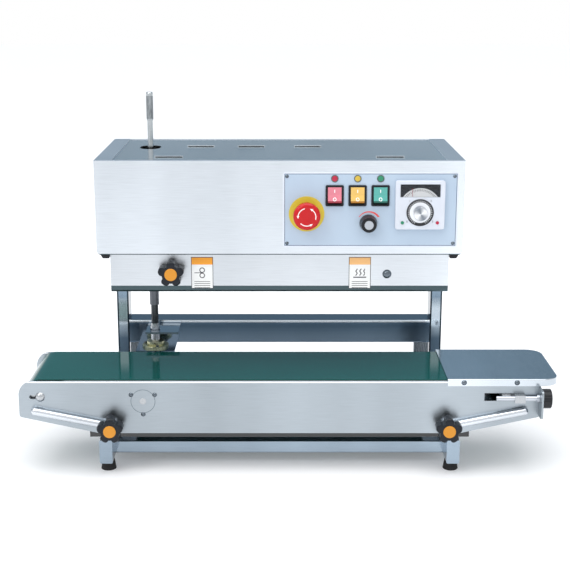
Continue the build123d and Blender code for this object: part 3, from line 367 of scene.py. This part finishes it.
# %% Glossy belt
belt_green = Finish("belt_green", (0.010, 0.085, 0.075), 0.10)
belt_vector, _, _, _ = belt_green.place()
belt_weave = belt_green.noise(belt_vector, 60.0, (1.0, 2.0, 1.0), 2.0)
belt_clouds = belt_green.noise(belt_vector, 8.0, (0.3, 1.0, 1.0))
belt_green.link("Base Color", belt_green.mix(belt_clouds, (0.004, 0.070, 0.062, 1.0),
                                             (0.007, 0.094, 0.084, 1.0)))
belt_green.link("Roughness", belt_clouds * 0.06 + 0.05)
belt_green.bump(belt_weave, 0.05, 0.4 * MM)


# %% [markdown]
# ## Two-part finishes
# A star knob is one moulding with an orange cap pressed into its face, and each tension screw
# is a steel rod with a black knob.  The two pieces share a node, so the finish picks its colour
# from the place along the axis where one piece ends and the other starts.

# %% Knobs with caps
def capped_knob(node, axis, edge, base, cap, metallic_cap=0.0):
    """A finish that is the cap's below the edge along the axis, and the base's above it."""
    finish = Finish(node + "_finish", base, 0.30)
    vector, *xyz = finish.place()
    mask = xyz["XYZ".index(axis)] < edge
    speckle = finish.noise(vector, 1200.0, detail=2.0)
    clouds = finish.noise(vector, 60.0)
    body = finish.mix(clouds, shaded(base, 0.75), shaded(base))
    lid = finish.mix(clouds, shaded(cap, 0.9), shaded(cap))
    finish.link("Base Color", finish.mix(mask, body, lid))
    finish.link("Metallic", mask * metallic_cap)
    finish.link("Roughness", speckle * 0.12 + 0.24)
    finish.bump(speckle, 0.15, 0.05 * MM)
    return finish


KNOB_NAVY = (0.006, 0.009, 0.015)
KNOB_BLACK = (0.016, 0.017, 0.020)
SPEED_BLACK = (0.008, 0.009, 0.012)
CAP_ORANGE = (0.66, 0.27, 0.025)
SCREW_STEEL = (0.62, 0.65, 0.70)
SPEED_STEEL = (0.50, 0.53, 0.57)
CAP_DEPTH = 1.55 * MM
SPEED_CAP_DEPTH = 0.75 * MM
SCREW_KNOB_LENGTH = 14.05 * MM
knob_finishes = {}
for knob in ("star_knob_left", "star_knob_right", "guard_knob"):
    knob_finishes[knob] = capped_knob(knob, "Y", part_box(knob)[0][1] + CAP_DEPTH,
                                      KNOB_NAVY, CAP_ORANGE)
for screw in ("tension_screw_front", "tension_screw_rear"):
    knob_finishes[screw] = capped_knob(screw, "X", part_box(screw)[1][0] - SCREW_KNOB_LENGTH,
                                       KNOB_BLACK, SCREW_STEEL, 1.0)
knob_finishes["speed_knob"] = capped_knob(
    "speed_knob", "Y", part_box("speed_knob")[0][1] + SPEED_CAP_DEPTH,
    SPEED_BLACK, SPEED_STEEL, 1.0)
print("knob finishes:", sorted(knob_finishes))


# %% [markdown]
# ## The control panel film
# The panel is a printed film on a plate: a pale blue field, a thin border line and a red wedge
# over the speed knob that says "more this way".  Lines are bands of distance to a rounded
# rectangle, and the wedge is a band of radius cut by a level line.

# %% Panel film
def panel_film():
    """A pale field with a border line, and a wedge over the speed knob."""
    finish = Finish("panel_film", (0.70, 0.76, 0.86), 0.30, coat=0.25)
    vector, x, _, z = finish.place()
    low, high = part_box("control_plate")
    middle = centre("control_plate")
    inset = 3.0 * MM
    half_x = (high[0] - low[0]) / 2 - inset
    half_z = (high[2] - low[2]) / 2 - inset
    outside = (abs(x - middle.x) - half_x).math("MAXIMUM", abs(z - middle.z) - half_z)
    line = abs(outside) < 0.5 * MM
    knob = centre("speed_knob")
    across, up, radius = finish.around(knob.x, knob.z)
    widening = across * 0.06 + 18.6 * MM
    wedge = (radius > 16.6 * MM) * (radius < widening) * (up > 9.5 * MM)
    clouds = finish.noise(vector, 14.0)
    field = finish.mix(clouds, (0.40, 0.50, 0.62, 1.0), (0.48, 0.58, 0.69, 1.0))
    field = finish.mix(outside > 0.0, field, (0.70, 0.75, 0.82, 1.0))
    lined = finish.mix(line, field, (0.08, 0.12, 0.20, 1.0))
    finish.link("Base Color", finish.mix(wedge, lined, (0.80, 0.10, 0.10, 1.0)))
    finish.link("Roughness", clouds * 0.1 + 0.24)
    return finish


panel_print = panel_film()


# %% [markdown]
# ## The emergency stop's arrows and the rockers' marks
# Three white arrows on the red head say which way it twists free.  They are bands of radius cut
# by angle.  Each rocker carries the usual line and ring, printed on its two halves.

# %% Printed controls
STOP_ARROWS = 3
ARROW_RADIUS = 13.4 * MM
MARK_OFFSET = 6.0 * MM


def stop_head():
    """Red plastic with white arrows on its front face."""
    finish = Finish("stop_head", (0.50, 0.006, 0.01), 0.25, coat=0.1)
    vector, _, y, _ = finish.place()
    middle = centre("estop_button")
    across, up, radius = finish.around(middle.x, middle.z)
    turn = up.math("ARCTAN2", across) * (STOP_ARROWS / TURN) + 2.25
    part = turn.math("FRACT")
    off_track = abs(radius - ARROW_RADIUS)
    tail = (off_track < 0.65 * MM) * (part > 0.12) * (part < 0.72)
    head_width = (part - 0.68) * -0.012 + 1.9 * MM
    head = (off_track < head_width) * (part > 0.68) * (part < 0.84)
    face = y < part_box("estop_button")[0][1] + 1.2 * MM
    arrows = (tail | head) * face
    clouds = finish.noise(vector, 40.0)
    red = finish.mix(clouds, (0.44, 0.004, 0.006, 1.0), (0.56, 0.006, 0.010, 1.0))
    finish.link("Base Color", finish.mix(arrows, red, (0.9, 0.88, 0.86, 1.0)))
    finish.link("Roughness", clouds * 0.08 + 0.18)
    return finish


def rocker_print(node, color):
    """Translucent rocker with a line on its upper half, a ring on its lower half, and painted
    shade on its bottom end.
    """
    finish = Finish(node + "_finish", color, 0.22, coat=0.6)
    vector, _, _, z = finish.place()
    middle = centre(node)
    across, _, radius = finish.around(middle.x, middle.z - MARK_OFFSET)
    line = (abs(across) < 0.6 * MM) * (abs(z - (middle.z + MARK_OFFSET)) < 2.4 * MM)
    loop = abs(radius - 2.2 * MM) < 0.5 * MM
    clouds = finish.noise(vector, 50.0)
    glow = finish.mix(clouds, shaded(color, 0.85), shaded(color))
    # Painted shade on the bottom end of the rocker, which faces down.
    foot = z < middle.z - 8.6 * MM
    glow = finish.mix(foot, glow, (*[c * c * 0.5 for c in color], 1.0))
    finish.link("Base Color", finish.mix(line | loop, glow, (0.92, 0.92, 0.90, 1.0)))
    finish.link("Roughness", clouds * 0.1 + 0.15)
    return finish


stop_finish = stop_head()
rocker_finishes = {
    "power_rocker": rocker_print("power_rocker", (0.74, 0.22, 0.28)),
    "heater_rocker": rocker_print("heater_rocker", (0.82, 0.52, 0.13)),
    "fan_rocker": rocker_print("fan_rocker", (0.09, 0.41, 0.36)),
}


# %% [markdown]
# ## The drive shaft
# The black shaft slides in the head's hollow gear and its upper end stands out of the top
# cover.  The lower part is blackened, the bright neck is ground, and the tip is knurled for a
# grip, so the finish changes with height and the knurl is a bump of two crossed waves.

# %% Shaft finish
KNURL_PITCH = 1.8 * MM
KNURL_STARTS = 20.0


def shaft_finish():
    """Blackened below, ground at the neck, knurled at the tip."""
    finish = Finish("drive_shaft_finish", (0.05, 0.055, 0.06), 0.3, metallic=1.0)
    vector, x, y, z = finish.place()
    middle = centre("drive_shaft")
    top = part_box("drive_shaft")[1][2]
    tip = (z > top - 43.0 * MM) * (z < top - 6.0 * MM)
    neck = z > top - 120.0 * MM
    climb = z * (TURN / KNURL_PITCH)
    turn = (y - middle.y).math("ARCTAN2", x - middle.x) * KNURL_STARTS
    rising = (climb + turn).math("SINE")
    falling = (climb - turn).math("SINE")
    knurl = (rising * falling) * tip
    blotch = finish.noise(vector, 160.0, (1.0, 1.0, 0.35), 4.0)
    dark = finish.mix(blotch, (0.025, 0.028, 0.03, 1.0), (0.10, 0.11, 0.12, 1.0))
    bright = finish.mix(blotch, (0.34, 0.37, 0.38, 1.0), (0.72, 0.75, 0.76, 1.0))
    grip = finish.mix(blotch.math("POWER", 1.6), (0.10, 0.11, 0.12, 1.0),
                      (0.62, 0.65, 0.66, 1.0))
    finish.link("Base Color", finish.mix(tip, finish.mix(neck, dark, bright), grip))
    finish.link("Roughness", blotch * 0.25 + tip * 0.12 + 0.10)
    finish.bump(knurl, 0.7, 0.3 * MM)
    return finish


drive_shaft_finish = shaft_finish()


# %% [markdown]
# ## Handing out the finishes
# Every node keeps its own mesh and only has its material slots filled.

# %% Finishes on the frame's nodes
def coat_nodes(finish, *names):
    """One finish for whole nodes."""
    for name in names:
        mesh = nodes[name].data
        mesh.materials.clear()
        mesh.materials.append(finish.material)


coat_nodes(casing_steel, "housing_shell", "rear_panel")
coat_nodes(cover_steel, "top_cover")
coat_nodes(front_guard_steel, "front_guard")
coat_nodes(guard_steel, "rear_guard", "mechanism_plate")
coat_nodes(plate_steel, "side_plate_front", "side_plate_rear", "drive_bearings")
coat_nodes(screw_steel, "head_screws", "conveyor_screws")
coat_nodes(polished_steel, "base_frame", "shaft_bracket")
coat_nodes(polished_rod, "brace_rods")
coat_nodes(upright_painted_reflection, "uprights")
coat_nodes(beam_painted_reflection, "rear_beam")
coat_nodes(tray_steel, "feed_tray")
coat_nodes(turned_steel, "left_axle", "tension_blocks",
           "slider_bed", "support_arms", "drive_roller", "roller_left", "roller_right",
           "shaft_coupling", "motor_gear", "shaft_bevel_gear",
           "band_drive_front", "band_drive_rear", "band_idler_front", "band_idler_rear",
           "pressure_roller_front", "heating_blocks")
coat_nodes(dial_metal, "controller_knob")
coat_nodes(dark_steel, "hollow_gear")
coat_nodes(drive_shaft_finish, "drive_shaft")
coat_nodes(cast_metal, "gear_motor", "cooling_blocks")
coat_nodes(yellow_zinc, "flange_bearing")
coat_nodes(band_cloth, "seal_bands")
coat_nodes(belt_green, "conveyor_belt")
coat_nodes(foot_rubber, "feet", "pressure_roller_rear")
coat_nodes(bar_paint, "support_bar")
coat_nodes(black_plastic, "switch_frames", "power_inlet", "fan_housing", "fan_rotor")
coat_nodes(panel_print, "control_plate")
coat_nodes(stop_finish, "estop_button")
coat_nodes(white_plastic, "controller_case")
for owner, finish in {**knob_finishes, **rocker_finishes}.items():
    coat_nodes(finish, owner)
bare = [name for name, obj in nodes.items() if not obj.data.materials]
print("nodes without a finish:", bare)


# %% [markdown]
# ## Small pieces
# Everything below is thin trim.  A disc starts as a cone operator with two equal radii and a
# plate as a cube, and a bevel breaks the edges, because a real edge always catches some light.

# %% Mesh helpers
SHARP_ANGLE = math.radians(35)
ROUND_SEGMENTS = 64


def soften(bm, edges, width, segments=2):
    """Break the given edges."""
    bmesh.ops.bevel(bm, geom=edges, offset=width, offset_type="OFFSET", affect="EDGES",
                    segments=segments, profile=0.5, material=-1)


def attach(piece, body):
    """The piece rides on a body."""
    bpy.context.scene.collection.objects.link(piece)
    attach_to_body(piece, body)
    return piece


def make_piece(name, bm, finish, body):
    """An object from a finished bmesh, shaded smooth except over its sharp edges."""
    bmesh.ops.recalc_face_normals(bm, faces=bm.faces)
    mesh = bpy.data.meshes.new(name)
    bm.to_mesh(mesh)
    bm.free()
    for polygon in mesh.polygons:
        polygon.use_smooth = True
    mesh.set_sharp_from_angle(angle=SHARP_ANGLE)
    mesh.materials.append(finish.material)
    return attach(bpy.data.objects.new(name, mesh), body)


FACING = Matrix.Rotation(math.radians(90), 4, "X")


def disc(name, at, radius, thickness, finish, body, edge):
    """A round plate that stands in front of the point, facing the operator."""
    bm = bmesh.new()
    bmesh.ops.create_cone(bm, cap_ends=True, segments=ROUND_SEGMENTS, radius1=radius,
                          radius2=radius, depth=thickness)
    rims = [e for e in bm.edges if len(e.link_faces) == 2
            and any(len(f.verts) > 4 for f in e.link_faces)]
    soften(bm, rims, edge)
    place = Matrix.Translation(Vector(at) - Vector((0, thickness / 2, 0)))
    bmesh.ops.transform(bm, matrix=place @ FACING, verts=bm.verts)
    return make_piece(name, bm, finish, body)


def slab(name, low, high, finish, body, edge):
    """A plate between two corners."""
    low, high = Vector(low), Vector(high)
    bm = bmesh.new()
    bmesh.ops.create_cube(bm, size=1.0)
    bmesh.ops.scale(bm, vec=high - low, verts=bm.verts)
    bmesh.ops.translate(bm, vec=(low + high) / 2, verts=bm.verts)
    soften(bm, bm.edges[:], edge)
    return make_piece(name, bm, finish, body)


def ring(name, at, inner, outer, thickness, finish, body):
    """A flat ring in front of the point: a rectangle spun about the axis that faces Y."""
    bm = bmesh.new()
    corners = [bm.verts.new((r, 0, h)) for r, h in
               ((inner, 0), (outer, 0), (outer, thickness), (inner, thickness))]
    edges = [bm.edges.new((corners[i], corners[(i + 1) % 4])) for i in range(4)]
    bmesh.ops.spin(bm, geom=corners + edges, cent=(0, 0, 0), axis=(0, 0, 1),
                   angle=TURN, steps=ROUND_SEGMENTS, use_merge=True)
    place = Matrix.Translation(Vector(at)) @ FACING
    bmesh.ops.transform(bm, matrix=place, verts=bm.verts)
    return make_piece(name, bm, finish, body)


# %% [markdown]
# ## Trim on the control panel
# The stop button stands on a yellow disc, a coloured lens marks each rocker, and a small
# bezel holds each lens.

# %% Stop disc and marker lenses
LENS_RADIUS = 4.3 * MM
LENS_RISE = 24.8 * MM
panel_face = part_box("control_plate")[0][1]
stop_axis = centre("estop_button")
ring("stop_disc", (stop_axis.x, panel_face, stop_axis.z), 11.4 * MM, 27.0 * MM, 1.2 * MM,
     stop_yellow, "base")
lens_finishes = (red_lens, amber_lens, green_lens)
for node, lens_finish in zip(rocker_finishes, lens_finishes):
    axis = centre(node)
    at = (axis.x, panel_face, axis.z + LENS_RISE)
    ring(node + "_bezel", at, LENS_RADIUS, 5.6 * MM, 0.8 * MM, marker_rim, "base")
    disc(node + "_lens", at, LENS_RADIUS, 1.4 * MM, lens_finish, "base", edge=0.5 * MM)
print("stop disc and", len(lens_finishes), "lenses")


# %% [markdown]
# ## The temperature controller's face
# Above the dial is a small meter: a white card with a curved scale under a clear window.  The
# dial turns over a white disc with a ring of ticks.  The ticks are a formula of the angle, and
# the few numbers are real text, turned into a mesh.

# %% Dial scale
def tick_disc(name, middle, field, ink, inner, outer, count, spare):
    """A finish with ticks round a point, in a band of radius, leaving a spare angle below."""
    finish = Finish(name, field, 0.35, coat=0.2)
    vector, _, _, _ = finish.place()
    across, up, radius = finish.around(*middle)
    turn = across.math("ARCTAN2", up)
    part = (turn * (count / TURN) + 0.5).math("FRACT")
    tick = (abs(part - 0.5) < 0.14) * (radius > inner) * (radius < outer)
    tick = tick * (abs(turn) < math.pi - spare)
    clouds = finish.noise(vector, 80.0)
    paper = finish.mix(clouds, shaded(field, 0.94), shaded(field))
    rim = finish.mix(radius > inner - 0.6 * MM, paper, shaded(ink))
    finish.link("Base Color", finish.mix(tick, rim, (0.80, 0.82, 0.85, 1.0)))
    finish.link("Roughness", clouds * 0.1 + 0.30)
    return finish


case_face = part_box("controller_case")[0][1]
case_mid = centre("controller_case")
dial = centre("controller_knob")
INK = (0.02, 0.02, 0.025)
DIAL_TICKS = 40
DIAL_GAP = 0.40  # radians without ticks, to each side of the lowest point
dial_ticks = tick_disc("dial_ticks", (dial.x, dial.z), (0.84, 0.86, 0.90), INK,
                       16.4 * MM, 18.6 * MM, DIAL_TICKS, DIAL_GAP)
disc("dial_scale", (dial.x, case_face, dial.z), 20.0 * MM, 0.25 * MM, dial_ticks, "base",
     edge=0.08 * MM)
ring("dial_ring", (dial.x, case_face, dial.z), 19.3 * MM, 20.6 * MM, 0.7 * MM, black_plastic,
     "base")


# %% Meter card, needle and window
METER_PIVOT_DROP = 6.0 * MM
METER_TICKS = 72
WINDOW_HALF = 30.0 * MM


def meter_card():
    """White card with ticks under a dark arc, round a pivot below the window."""
    finish = Finish("meter_card", (0.86, 0.87, 0.88), 0.4)
    vector, _, _, _ = finish.place()
    across, up, radius = finish.around(case_mid.x, case_mid.z - METER_PIVOT_DROP)
    turn = across.math("ARCTAN2", up)
    part = (turn * (METER_TICKS / TURN) + 0.5).math("FRACT")
    ticks = (abs(part - 0.5) < 0.16) * (radius > 27.0 * MM) * (radius < 30.5 * MM)
    arc = radius > 32.0 * MM
    dirt = finish.noise(vector, 60.0)
    paper = finish.mix(dirt, (0.80, 0.81, 0.82, 1.0), (0.88, 0.89, 0.90, 1.0))
    finish.link("Base Color", finish.mix(ticks | arc, paper, shaded(INK)))
    return finish


window_low = Vector((case_mid.x - WINDOW_HALF, 0, case_mid.z + 12.4 * MM))
window_high = Vector((case_mid.x + WINDOW_HALF, 0, case_mid.z + 31.6 * MM))
card_y = case_face + 1.45 * MM
slab("meter_card", (window_low.x, card_y - 0.25 * MM, window_low.z),
     (window_high.x, card_y, window_high.z), meter_card(), "base", edge=0.05 * MM)
slab("meter_needle", (case_mid.x - 12.3 * MM, card_y - 0.6 * MM, window_low.z + 0.4 * MM),
     (case_mid.x - 11.7 * MM, card_y - 0.35 * MM, window_high.z - 6.0 * MM), red_lens, "base",
     edge=0.05 * MM)
window_glass = Finish("window_glass", (0.05, 0.06, 0.07), 0.04, alpha=0.10)
window_dust = window_glass.noise(window_glass.place()[0], 200.0)
window_glass.link("Roughness", window_dust * 0.05 + 0.02)
slab("meter_window", (window_low.x, case_face + 0.15 * MM, window_low.z),
     (window_high.x, case_face + 0.6 * MM, window_high.z), window_glass, "base",
     edge=0.1 * MM)
for side, lens_finish in ((-1, green_lens), (1, red_lens)):
    disc("controller_lamp_" + ("left" if side < 0 else "right"),
         (case_mid.x + side * 26.5 * MM, case_face, case_mid.z - 26.8 * MM), 2.6 * MM, 1.6 * MM,
         lens_finish, "base", edge=0.7 * MM)


# %% Numbers on the dial
ink_finish = moulded("scale_ink", INK, 0.5)
DIAL_NUMBERS = ("0", "1", "2", "3")
FIRST_NUMBER, NUMBER_STEP = -126, 84  # degrees from the top
NUMBER_RADIUS = 24.0 * MM
NUMBER_HEIGHT = 4.2 * MM


def number(name, text, at, size, body):
    """Flat text as a mesh that faces the operator."""
    curve = bpy.data.curves.new(name, "FONT")
    curve.body = text
    curve.size = size
    curve.align_x = "CENTER"
    curve.align_y = "CENTER"
    curve.extrude = 0.05 * MM
    curve.resolution_u = 3
    holder = bpy.data.objects.new(name + "_text", curve)
    bpy.context.scene.collection.objects.link(holder)
    mesh = bpy.data.meshes.new_from_object(holder)
    bpy.data.objects.remove(holder)
    mesh.name = name
    mesh.transform(Matrix.Translation(Vector(at)) @ FACING)
    mesh.materials.clear()
    mesh.materials.append(ink_finish.material)
    return attach(bpy.data.objects.new(name, mesh), body)


for index, text in enumerate(DIAL_NUMBERS):
    angle = math.radians(FIRST_NUMBER + NUMBER_STEP * index)
    at = (dial.x + NUMBER_RADIUS * math.sin(angle), case_face - 0.06 * MM,
          dial.z + NUMBER_RADIUS * math.cos(angle))
    number("dial_number_" + text, text, at, NUMBER_HEIGHT, "base")
print("controller face done")


# %% [markdown]
# ## Labels on the guard
# Two printed plates sit on the lower guard.  Each has an orange band over a white field with
# a plain pictogram and rows of bars, and no words.

# %% Guard labels
ROLLER_MARK = 3.6 * MM
ROW_PITCH = 3.2 * MM
ABOVE_ZERO = 200.0 * MM  # keeps the remainder of a division positive


def label_finish(name, middle, width, height, orange, hot):
    """An orange band over a white field, with waves for heat or two rollers for a nip."""
    finish = Finish(name, (0.85, 0.86, 0.85), 0.35, coat=0.3)
    vector, _, _, _ = finish.place()
    across, up, _ = finish.around(*middle)
    band = up > height * 0.26
    edge = (abs(across) > width / 2 - 0.9 * MM) | (abs(up) > height / 2 - 0.9 * MM)
    icon_z = up - height * 0.02
    if hot:
        wave = (icon_z * 900.0).math("SINE") * 0.9 * MM
        near = (across + wave + 20.0 * MM).math("MODULO", 6.0 * MM)
        waves = (abs(near - 3.0 * MM) < 0.9 * MM) * (abs(across) < 8.0 * MM)
        waves = waves * (abs(icon_z) < 5.5 * MM)
        foot = (abs(icon_z + 8.0 * MM) < 0.9 * MM) * (abs(across) < 10.0 * MM)
        icon = waves | foot
    else:
        upper = distance(across, icon_z - 3.2 * MM) - ROLLER_MARK
        lower = distance(across, icon_z + 5.2 * MM) - ROLLER_MARK
        sheet = (abs(icon_z + 1.0 * MM) < 0.5 * MM) * (across < -1.0 * MM)
        sheet = sheet * (across > -12.0 * MM)
        icon = (abs(upper) < 0.7 * MM) | (abs(lower) < 0.7 * MM) | sheet
    row = (up + ABOVE_ZERO - 2.0 * MM).math("MODULO", ROW_PITCH) - ROW_PITCH / 2
    lines = abs(row) < 0.45 * MM
    lines = lines * (up < height * -0.26) * (abs(across) < width * 0.36)
    dirt = finish.noise(vector, 50.0)
    white = finish.mix(dirt, (0.78, 0.79, 0.78, 1.0), (0.88, 0.89, 0.88, 1.0))
    ink = (icon | lines) * (up < height * 0.24)
    printed = finish.mix(ink, white, (0.04, 0.04, 0.05, 1.0))
    topped = finish.mix(band, printed, shaded(orange))
    finish.link("Base Color", finish.mix(edge, topped, (0.05, 0.05, 0.06, 1.0)))
    return finish


guard_low, guard_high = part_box("front_guard")
label_width, label_height, label_thickness = 34.0 * MM, 50.0 * MM, 0.3 * MM
label_z = guard_high[2] - 32.0 * MM
axis_x = (guard_low[0] + guard_high[0]) / 2
for name, offset, orange, hot in (("left_label", -119.5, (0.90, 0.36, 0.03), False),
                                  ("right_label", 124.0, (0.88, 0.50, 0.20), True)):
    middle = (axis_x + offset * MM, label_z)
    label_print = label_finish(name + "_print", middle, label_width, label_height, orange, hot)
    low = (middle[0] - label_width / 2, guard_low[1] - label_thickness,
           label_z - label_height / 2)
    high = (middle[0] + label_width / 2, guard_low[1], label_z + label_height / 2)
    slab(name, low, high, label_print, "base", edge=0.1 * MM)


# %% [markdown]
# ## Band guides under the casing
# At each end of the casing a small black guide leads the film in and out.  It is a wedge: a
# cube whose lower edge is drawn in before its edges are broken.

# %% Band guides
GUIDE_REACH = 269.0 * MM
GUIDE_SIZE = Vector((15.0 * MM, 22.0 * MM, 8.0 * MM))
GUIDE_SINK = 1.0 * MM
shell_low, shell_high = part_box("housing_shell")
for side in (-1, 1):
    middle_x = (shell_low[0] + shell_high[0]) / 2 + side * GUIDE_REACH
    bm = bmesh.new()
    bmesh.ops.create_cube(bm, size=1.0)
    bmesh.ops.scale(bm, vec=GUIDE_SIZE, verts=bm.verts)
    outer = [v for v in bm.verts if v.co.z < 0 and v.co.x * side > 0]
    bmesh.ops.translate(bm, vec=(-side * 5.0 * MM, 0, 0), verts=outer)
    at = (middle_x, shell_low[1] + 16.0 * MM, shell_low[2] - GUIDE_SIZE.z / 2 + GUIDE_SINK)
    bmesh.ops.translate(bm, vec=at, verts=bm.verts)
    soften(bm, bm.edges[:], 1.2 * MM, 3)
    make_piece("band_guide_" + ("left" if side < 0 else "right"), bm, black_plastic, "base")


# %% [markdown]
# ## Floor, light and camera
# A pale floor, one broad light overhead, a small one from the upper left, and a bright room all
# round.  Polished steel shows whatever stands about it, so a dark screen hangs behind the
# machine for its level faces to mirror.  The camera itself sees white in place of the room, and
# the far floor glows a little more than the near floor, so no horizon shows.

# %% Floor
FLOOR_HALF = 12.0
NEAR_GLOW, FAR_GLOW = 0.17, 0.34
floor_finish = Finish("floor_finish", (0.87, 0.87, 0.875), 0.8)
floor_finish.link("Emission Color", WHITE)
_, _, floor_y, _ = floor_finish.place()
floor_finish.link("Emission Strength", floor_finish.ramp(floor_y, 0.3, 1.6, NEAR_GLOW, FAR_GLOW))
bm = bmesh.new()
bmesh.ops.create_grid(bm, x_segments=2, y_segments=2, size=FLOOR_HALF)
floor_mesh = bpy.data.meshes.new("floor")
bm.to_mesh(floor_mesh)
bm.free()
floor_mesh.materials.append(floor_finish.material)
floor = bpy.data.objects.new("floor", floor_mesh)
bpy.context.scene.collection.objects.link(floor)

# %% Room
world = bpy.data.worlds.new("room")
bpy.context.scene.world = world
world.use_nodes = True
room = world.node_tree


def room_node(kind, values, output=0, **settings):
    """A node of the room with its sockets filled by number, and one of its outputs."""
    node = room.nodes.new(kind)
    for key, value in settings.items():
        setattr(node, key, value)
    for index, value in values.items():
        if isinstance(value, bpy.types.NodeSocket):
            room.links.new(value, node.inputs[index])
        else:
            node.inputs[index].default_value = value
    return node.outputs[output]


def fade(value, start, end):
    """0 before the start and 1 after the end."""
    return room_node("ShaderNodeMapRange", {0: value, 1: start, 2: end})


def times(first, second):
    """The product of two numbers."""
    return room_node("ShaderNodeMath", {0: first, 1: second}, operation="MULTIPLY")


def blend(factor, first, second):
    """A colour between two colours."""
    return room_node("ShaderNodeMix", {0: factor, 6: first, 7: second}, 2, data_type="RGBA")


ROOM_LIGHT = (0.94, 0.95, 0.97, 1.0)
SCREEN_DARK = (0.20, 0.29, 0.37, 1.0)
direction = room_node("ShaderNodeTexCoord", {}, "Generated")
toward_y = room_node("ShaderNodeSeparateXYZ", {0: direction}, 1)
toward_z = room_node("ShaderNodeSeparateXYZ", {0: direction}, 2)
# The screen starts just over the horizon and ends high up, on the far side only.
screen = times(times(fade(toward_z, 0.05, 0.13), fade(toward_z, 0.85, 0.60)),
               fade(toward_y, -0.05, 0.30))
seen = room_node("ShaderNodeLightPath", {}, "Is Camera Ray")
background = room.nodes["Background"].inputs
room.links.new(blend(seen, blend(screen, ROOM_LIGHT, SCREEN_DARK), WHITE), background["Color"])
background["Strength"].default_value = 1.0


# %% Lights
def area_light(name, at, aim, size, power):
    """A rectangular light at one point, aimed at another."""
    lamp = bpy.data.lights.new(name, "AREA")
    lamp.shape = "RECTANGLE"
    lamp.size, lamp.size_y = size
    lamp.energy = power
    light = bpy.data.objects.new(name, lamp)
    bpy.context.scene.collection.objects.link(light)
    light.location = at
    light.rotation_euler = (Vector(aim) - Vector(at)).to_track_quat("-Z", "Y").to_euler()
    return light


area_light("top_light", (0.0, -0.2, 3.0), (0, 0, 0), (3.0, 3.0), 62.0)
area_light("key_light", (-1.6, -1.8, 2.2), (0, 0, 0.3), (1.2, 1.2), 15.0)

# %% Camera
CAMERA_PITCH = 14
camera_data = bpy.data.cameras.new("camera")
camera_data.lens = 78.6
camera_data.sensor_width = 36.0
camera_data.shift_x = 0.0096
camera = bpy.data.objects.new("camera", camera_data)
bpy.context.scene.collection.objects.link(camera)
camera.location = (-0.014, -1.9623, 0.751)
camera.rotation_euler = (math.radians(90 - CAMERA_PITCH), 0, 0)
bpy.context.scene.camera = camera
bpy.context.scene.view_settings.view_transform = "Standard"
